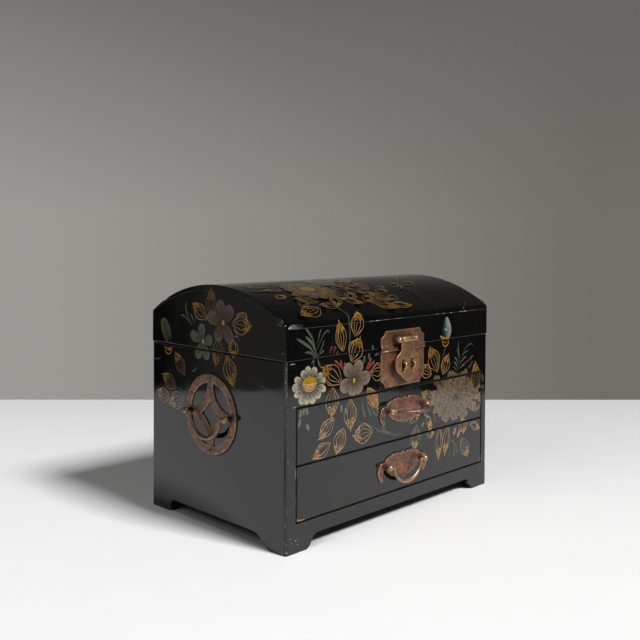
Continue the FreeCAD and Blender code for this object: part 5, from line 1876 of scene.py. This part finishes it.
def make_ornament():
    """Paints the front, the dome and both ends. Each board or body has its own share of a design."""
    wide = right_x / MM - CORNER_ROUND / MM
    fascia_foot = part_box("fascia_board")[0].z / MM
    lid_foot = lid_z / MM + PAINT_EDGE
    case_head = seam_z / MM - PAINT_EDGE
    front = draw_front()
    paint_on("painting_lid_front", "lid", front, on_lid, (-wide, wide, lid_foot, LID_TOP))
    paint_on("painting_fascia", "case", front, on_front, (-wide, wide, fascia_foot + GAP_EDGE, case_head))
    for level in ("upper", "lower"):
        low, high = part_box("drawer_" + level + "_front")
        sides = (low.x / MM + PAINT_EDGE, high.x / MM - PAINT_EDGE)
        window = (*sides, low.z / MM + GAP_EDGE, high.z / MM - GAP_EDGE)
        paint_on("painting_drawer_" + level, "drawer_" + level, front, on_front, window)
    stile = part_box("drawer_upper_front")[1].x / MM + DRAWER_GAP + PAINT_EDGE
    paint_on("painting_stile_right", "case", front, on_front, (stile, wide, 40.0, fascia_foot + PAINT_EDGE))
    dome = draw_dome(DOME_START)
    paint_on("painting_dome", "lid", dome, on_lid, (-wide, wide, DOME_START, DOME_END))
    side = draw_side()
    low, high = front_y / MM + CORNER_ROUND / MM, back_y / MM - CORNER_ROUND / MM
    for name, place in (("left", on_left), ("right", on_right)):
        paint_on("painting_end_case_" + name, "case", side, place, (low, high, 20.0, case_head))
        paint_on("painting_end_lid_" + name, "lid", side, place, (low, high, lid_foot, LID_TOP))


# ---------------------------------------------------------------- chips, scuffs, painted highlights and painted shade

def around_corner(s, z, height):
    """The case's left front corner, unrolled: s is 0 at its middle and grows to the right, over the front."""
    arc = CORNER_ROUND * math.pi / 4.0
    way = s * MM
    if way > arc:
        return on_front((left_x + CORNER_ROUND + way - arc) / MM, z, height)
    if way < -arc:
        return on_left((front_y + CORNER_ROUND - way - arc) / MM, z, height)
    angle = way / CORNER_ROUND + math.pi / 4.0
    radius = CORNER_ROUND + height * MM
    x = left_x + CORNER_ROUND - radius * math.cos(angle)
    return Vector((x, front_y + CORNER_ROUND - radius * math.sin(angle), z * MM))


WEAR_SPREAD = 1.2  # how far from an edge most of its flakes lie


def edge_flakes_and_glints(design, low, high, count):
    """Small flakes along an edge that runs up and down, most of them thin and faint: the faint ones are a
    painted highlight along the rounded edge, the pale ones are chips.
    """
    chance = design.chance
    for _ in range(count):
        z = chance.uniform(low, high)
        length = 0.8 + 6.0 * chance.random() ** 3
        s = chance.gauss(0.0, WEAR_SPREAD)
        tone = blend((0.035, 0.034, 0.032), CHIP, chance.random() ** 4)
        line = [(s, z), (s + 0.1, z + length * 0.5), (s, z + length)]
        design.ragged_mark(line, 0.22 + 0.4 * chance.random() ** 2, tone)


TOP_THICKNESS = 4.5 * MM
JOINT_START = 5.5 * MM  # how far in from the front and the back the arched joint starts


def arch_point(share):
    """A point of the joint between the top board and the lid's end: share is 0 in front and 1 at the back."""
    inner = arch_radius - TOP_THICKNESS
    reach = math.asin((half_depth - JOINT_START) / inner)
    angle = reach * (2.0 * share - 1.0)
    return (middle_y + inner * math.sin(angle)) / MM, (arch_z + inner * math.cos(angle)) / MM


def lid_outline(y):
    """How high the lid's end reaches at a depth, in millimetres."""
    out = abs(y * MM - middle_y)
    if out < eave_middle + EAVE_ROUND * math.cos(eave_turn):
        return (arch_z + math.sqrt(arch_radius**2 - out**2)) / MM
    return (eave_height + math.sqrt(max(EAVE_ROUND**2 - (out - eave_middle) ** 2, 0.0))) / MM


GAP_SHADE_INSET = 0.42  # how far in from a drawer front's edge the middle of its line of painted shade is


def outline(design, low_u, high_u, low_v, high_v, half, run):
    """Four dark lines of painted shade, of a half width, round a rectangle. run is how far each goes on past
    its corners.
    """
    for v in (low_v, high_v):
        design.ribbon([(low_u - run, v), (high_u + run, v)], half, SHADE, MATTE_MARKS)
    for u in (low_u, high_u):
        design.ribbon([(u, low_v - run), (u, high_v + run)], half, SHADE, MATTE_MARKS)


def make_gap_shades():
    """Painted shade on the drawers' rounded edges and round their opening, so that the gaps look darker than
    the flat fronts beside them.
    """
    lower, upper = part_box("drawer_lower_front"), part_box("drawer_upper_front")
    left, right = lower[0].x / MM, lower[1].x / MM
    for level, (low, high) in (("lower", lower), ("upper", upper)):
        foot, head = low.z / MM, high.z / MM
        design = Design(71)
        box = (left + GAP_SHADE_INSET, right - GAP_SHADE_INSET, foot + GAP_SHADE_INSET, head - GAP_SHADE_INSET)
        outline(design, *box, 0.4, GAP_SHADE_INSET - 0.1)
        window = (left + 0.05, right - 0.05, foot + 0.05, head - 0.05)
        paint_on("gap_shade_drawer_" + level, "drawer_" + level, design, on_front, window)
    case = Design(72)
    away = DRAWER_GAP + 0.35
    box = (left - away, right + away, lower[0].z / MM - away, upper[1].z / MM + away)
    outline(case, *box, 0.32, 0.25)
    paint_on("gap_shade_opening", "case", case, on_front, (-FRONT_END, FRONT_END, 20.0, 140.0))


FRONT_END = 149.8  # just inside the ends of the front
EAVE_RUN = 195.1  # how far up the lid's front the eave's edge is
SEAM_LINE = 166.4  # just under the seam
PALE_CHIP = (0.3, 0.3, 0.29)
WHITE_CHIP = (0.6, 0.6, 0.58)
# the faint grey of small chips, and of painted highlights
FAINT_CHIP_AND_GLINT = grey(0.05)


def chip_case_corner():
    """The left front corner of the case, where most of the lacquer's edge has flaked, with a band of painted
    dark reflection down its upper part.
    """
    corner = Design(51)
    # A near black band down the corner's upper part: painted dark reflection, for the dark the rounded corner
    # mirrors.
    edge = [(-0.6, 45), (-0.6, 80), (-0.4, 110), (-0.3, 166)]
    corner.ribbon(edge, lambda along: 0.2 + 1.6 * along, grey(0.003), MATTE_MARKS)
    edge_flakes_and_glints(corner, 2, 166, 46)
    corner.ragged_mark([(-2.6, 2.2), (0.6, 3.2), (2.2, 2.6)], 1.8, (0.46, 0.36, 0.27))
    corner.ragged_mark([(-1.8, 4.2), (0.6, 5.0)], 1.0, (0.62, 0.61, 0.58))
    for s, z, width in ((-0.3, 149.5, 0.9), (0.1, 137, 0.6), (0.2, 160.5, 0.6), (0.4, 9.0, 0.5)):
        corner.ragged_mark([(s, z), (s + 0.2, z + 1.6)], width, (0.5, 0.5, 0.48))
    for s, z, length in ((7.2, 127.4, 2.4), (9.8, 127.6, 1.6), (4.2, 165.2, 6.0)):
        corner.ragged_mark([(s, z), (s + length * 0.5, z + 0.2), (s + length, z)], 0.9, PALE_CHIP)
    paint_on("chips_case_corner", "case", corner, around_corner, (-12.0, 14.0, 0.5, 166.6))


def chip_lid_corner():
    """The left front corner of the lid."""
    corner = Design(52)
    edge_flakes_and_glints(corner, 169, 194, 14)
    corner.ragged_mark([(-0.6, 193.4), (0.2, 195.0)], 1.6, WHITE_CHIP)
    corner.ragged_mark([(-1.5, 168.6), (1.0, 170.5), (0.4, 175.0)], 0.9, PALE_CHIP)
    paint_on("chips_lid_corner", "lid", corner, around_corner, (-8.0, 10.0, lid_z / MM + 0.3, 195.5))


# Chips along the eave's edge: (from, to, width)
EAVE_CHIPS = (
    (-45, -38, 0.5), (-36, -30, 0.9), (-28, -15, 0.35), (60, 63, 0.6), (70, 75, 0.6),
    (83, 88, 0.6), (100, 107, 0.6), (108, 113, 1.0), (-10, 6, 0.3), (120, 131, 0.3),
)


def chip_lid_front():
    """The eave's edge along the lid's front, and its left end, which is scraped and carries a painted
    highlight.
    """
    front = Design(53)
    front.ribbon([(-149, 195.2), (0, 195.0), (149, 195.1)], 0.16, (0.046, 0.045, 0.043), MATTE_MARKS)
    for start, end, width in EAVE_CHIPS:
        line = [(start, EAVE_RUN), ((start + end) / 2.0, EAVE_RUN + 0.2), (end, EAVE_RUN - 0.1)]
        front.ragged_mark(line, width, blend((0.12, 0.12, 0.115), CHIP, width))
    front.ragged_mark([(106.5, 197.8), (108.5, 200.2)], 0.7, (0.34, 0.36, 0.33))
    front.ragged_mark([(-149.6, 196.4), (-147.6, 197.2), (-145.8, 196.6)], 2.4, (0.62, 0.62, 0.6))
    chance = front.chance
    # Grey strokes at the eave's left end: a painted highlight, where its rounded corner mirrors the light.
    for step in range(9):
        x, run = -149.5 + chance.random() * 3.0, 195.6 + 0.42 * step
        reach = chance.uniform(7.0, 21.0)
        tone = blend(FAINT_CHIP_AND_GLINT, grey(0.15), chance.random())
        front.ragged_mark([(x, run), (x + reach * 0.5, run + 0.3), (x + reach, run - 0.2)], 0.55, tone)
    front.ragged_mark([(-149.6, 163.9), (-146, 165.4)], 1.2, (0.2, 0.2, 0.195))
    paint_on("chips_lid_front", "lid", front, on_lid, (-FRONT_END, FRONT_END, lid_z / MM + 0.3, 210.0))


def chip_case_front():
    """The left stile and the left foot of the case's front."""
    front = Design(54)
    chance = front.chance
    for _ in range(26):
        x = chance.uniform(-148, -141.5)
        z = chance.uniform(4, 125)
        tone = blend(FAINT_CHIP_AND_GLINT, PALE_CHIP, chance.random() ** 2)
        front.ragged_mark([(x, z), (x + 0.1, z + 0.6 + chance.random())], 0.3 + 0.3 * chance.random(), tone)
    front.ragged_mark([(-140.9, 65), (-140.8, 70), (-140.9, 75)], 0.5, (0.28, 0.28, 0.27))
    front.ragged_mark([(-140.9, 42), (-140.9, 48)], 0.4, grey(0.2))
    front.ragged_mark([(143.4, 28), (143.9, 31), (143.6, 35)], 0.8, BARE_WOOD)
    foot = ((-141, 11, 1.3), (-138.6, 10.5, 0.7), (-146, 10, 0.7), (-147.5, 14, 0.7), (-138, 7, 0.7))
    for x, z, width in foot:
        front.ragged_mark([(x, z), (x + 1.0, z + 0.3)], width, (0.58, 0.58, 0.56))
    paint_on("chips_case_front", "case", front, on_front, (-FRONT_END, FRONT_END, 1.0, 166.5))


def chip_lower_drawer():
    """The lower drawer's foot, bare at both ends."""
    low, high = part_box("drawer_lower_front")
    drawer = Design(55)
    foot = low.z / MM + 0.35
    start = low.x / MM + 0.4
    end = high.x / MM - 0.5
    drawer.ragged_mark([(start, foot + 0.8), (start + 4, foot + 0.7), (start + 9, foot + 0.4)], 1.5, BARE_WOOD)
    drawer.ragged_mark([(start + 0.3, foot + 1.0), (start + 0.2, foot + 3.4)], 0.8, (0.5, 0.33, 0.2))
    drawer.ragged_mark([(start + 0.1, 66), (start + 0.1, 72)], 0.6, (0.26, 0.26, 0.25))
    drawer.ragged_mark([(end - 2.2, foot + 0.6), (end, foot + 1.0), (end, foot + 5.0)], 0.9, BARE_WOOD)
    window = (low.x / MM + 0.2, high.x / MM - 0.2, low.z / MM + 0.2, high.z / MM - 0.2)
    paint_on("chips_drawer_lower", "drawer_lower", drawer, on_front, window)


ROUNDING = CORNER_ROUND / MM + 0.6  # chips on the lid's end stay this far inside its outline
LID_END_START = front_y / MM + ROUNDING - 0.2


def chip_lid_end(name, place, seed):
    """The lid's end: chips along its arch, painted highlights at its front and on its arch's back, a painted
    dark line along the joint under the top board, and painted shade and highlight at the seam.
    """
    side = Design(seed)
    chance = side.chance

    def under_arch(u, v):
        return u, min(v, lid_outline(u) - ROUNDING)

    side.ragged_mark([(-86, 175), (-84.6, 174.2)], 1.6, grey(0.3))
    side.ragged_mark([(-39.5, 219.4), (-37.4, 218.2)], 0.9, grey(0.26))
    # Grey strokes at the arch's front end: a painted highlight, where the eave's rounded corner mirrors the
    # light.
    for step in range(8):
        y, z = LID_END_START + chance.random(), 197.6 + 0.9 * step
        reach = chance.uniform(2.0, 8.0)
        tone = blend(FAINT_CHIP_AND_GLINT, grey(0.28), chance.random() ** 1.5)
        points = ((y, z), (y + reach * 0.5, z + 1.2), (y + reach, z + 1.6))
        side.ragged_mark([under_arch(u, v) for u, v in points], 0.6, tone)
    # Pale marks on the arch's back edge: a painted highlight of the top board's rounded edge.
    side.ragged_mark([under_arch(y, math.inf) for y in (83, 89, 95)], 0.9, (0.34, 0.34, 0.33))
    # A black line along the joint under the top board: painted dark reflection of the board's rounded edge,
    # with a faint grey line below it.
    joint = [arch_point(step / 24.0) for step in range(25)]
    side.ribbon(joint, 0.5, PAINTED_DARK_LINE, MATTE_MARKS)
    side.ribbon([(u, v - 0.8) for u, v in joint], 0.14, (0.035, 0.034, 0.033), MATTE_MARKS)
    # A black line at the seam: painted shade in the gap.
    side.ribbon([(-88, 167.75), (108, 167.75)], 0.38, PAINTED_DARK_LINE, MATTE_MARKS)
    # A grey line on the lid's lower edge: a painted highlight.
    side.ribbon([(-88, 168.4), (-40, 168.3), (10, 168.2), (106, 168.4)], 0.22, (0.085, 0.083, 0.08), MATTE_MARKS)
    window = (LID_END_START - 0.3, 108.0, lid_z / MM + 0.1, 226.0)
    paint_on("chips_lid_end_" + name, "lid", side, place, window)


# Chips of a case end: (y, z, size)
END_CHIPS = (
    (-83, 127, 1.0), (46, 3.2, 1.3), (48, 3.0, 0.8), (-4, 12.8, 1.0), (-36, 13.2, 1.2), (-40, 13.4, 0.6),
    (101, 2.0, 1.2),
)


def chip_case_end(name, place, seed):
    """A case end: fine slanting scratches near the front, small chips all over, and painted shade along the
    seam.
    """
    side = Design(seed)
    chance = side.chance
    for _ in range(13):
        y = chance.uniform(-84, -58)
        z = 137 + chance.gauss(0.0, 3.0) + (y + 84) * 0.15
        reach = chance.uniform(3.0, 11.0)
        scratch = [(y, z), (y + reach * 0.5, z + reach * 0.17), (y + reach, z + reach * 0.3)]
        side.ribbon(scratch, 0.13, grey(0.085), MATTE_MARKS)
    for _ in range(34):
        y, z = chance.uniform(-84, 104), chance.uniform(3, 160) * chance.random() ** 0.6
        tone = blend(grey(0.03), (0.24, 0.24, 0.23), chance.random() ** 3)
        side.ragged_mark([(y, z), (y + 0.5, z + 0.4 + 0.6 * chance.random())], 0.3 + 0.35 * chance.random(), tone)
    for y, z, size in END_CHIPS:
        side.ragged_mark([(y, z), (y + size, z + 0.3)], 0.6 + 0.3 * size, CHIP)
    # A black line under the seam: painted shade in the gap.
    side.ribbon([(-87, 166.0), (108, 166.0)], 0.4, PAINTED_DARK_LINE, MATTE_MARKS)
    paint_on("chips_case_end_" + name, "case", side, place, (-86.6, 107.8, 0.6, SEAM_LINE))


def make_chips():
    """Where the lacquer has chipped: the corners, the eave, the seam, the feet and the drawer fronts; with
    painted highlights on the eave and the lid's ends, and painted shade along the seam and down the case's
    corner.
    """
    chip_case_corner()
    chip_lid_corner()
    chip_lid_front()
    chip_case_front()
    chip_lower_drawer()
    for name, place, seed in (("left", on_left, 56), ("right", on_right, 57)):
        chip_lid_end(name, place, seed)
        chip_case_end(name, place, seed + 10)


make_ornament()
make_gap_shades()
make_chips()
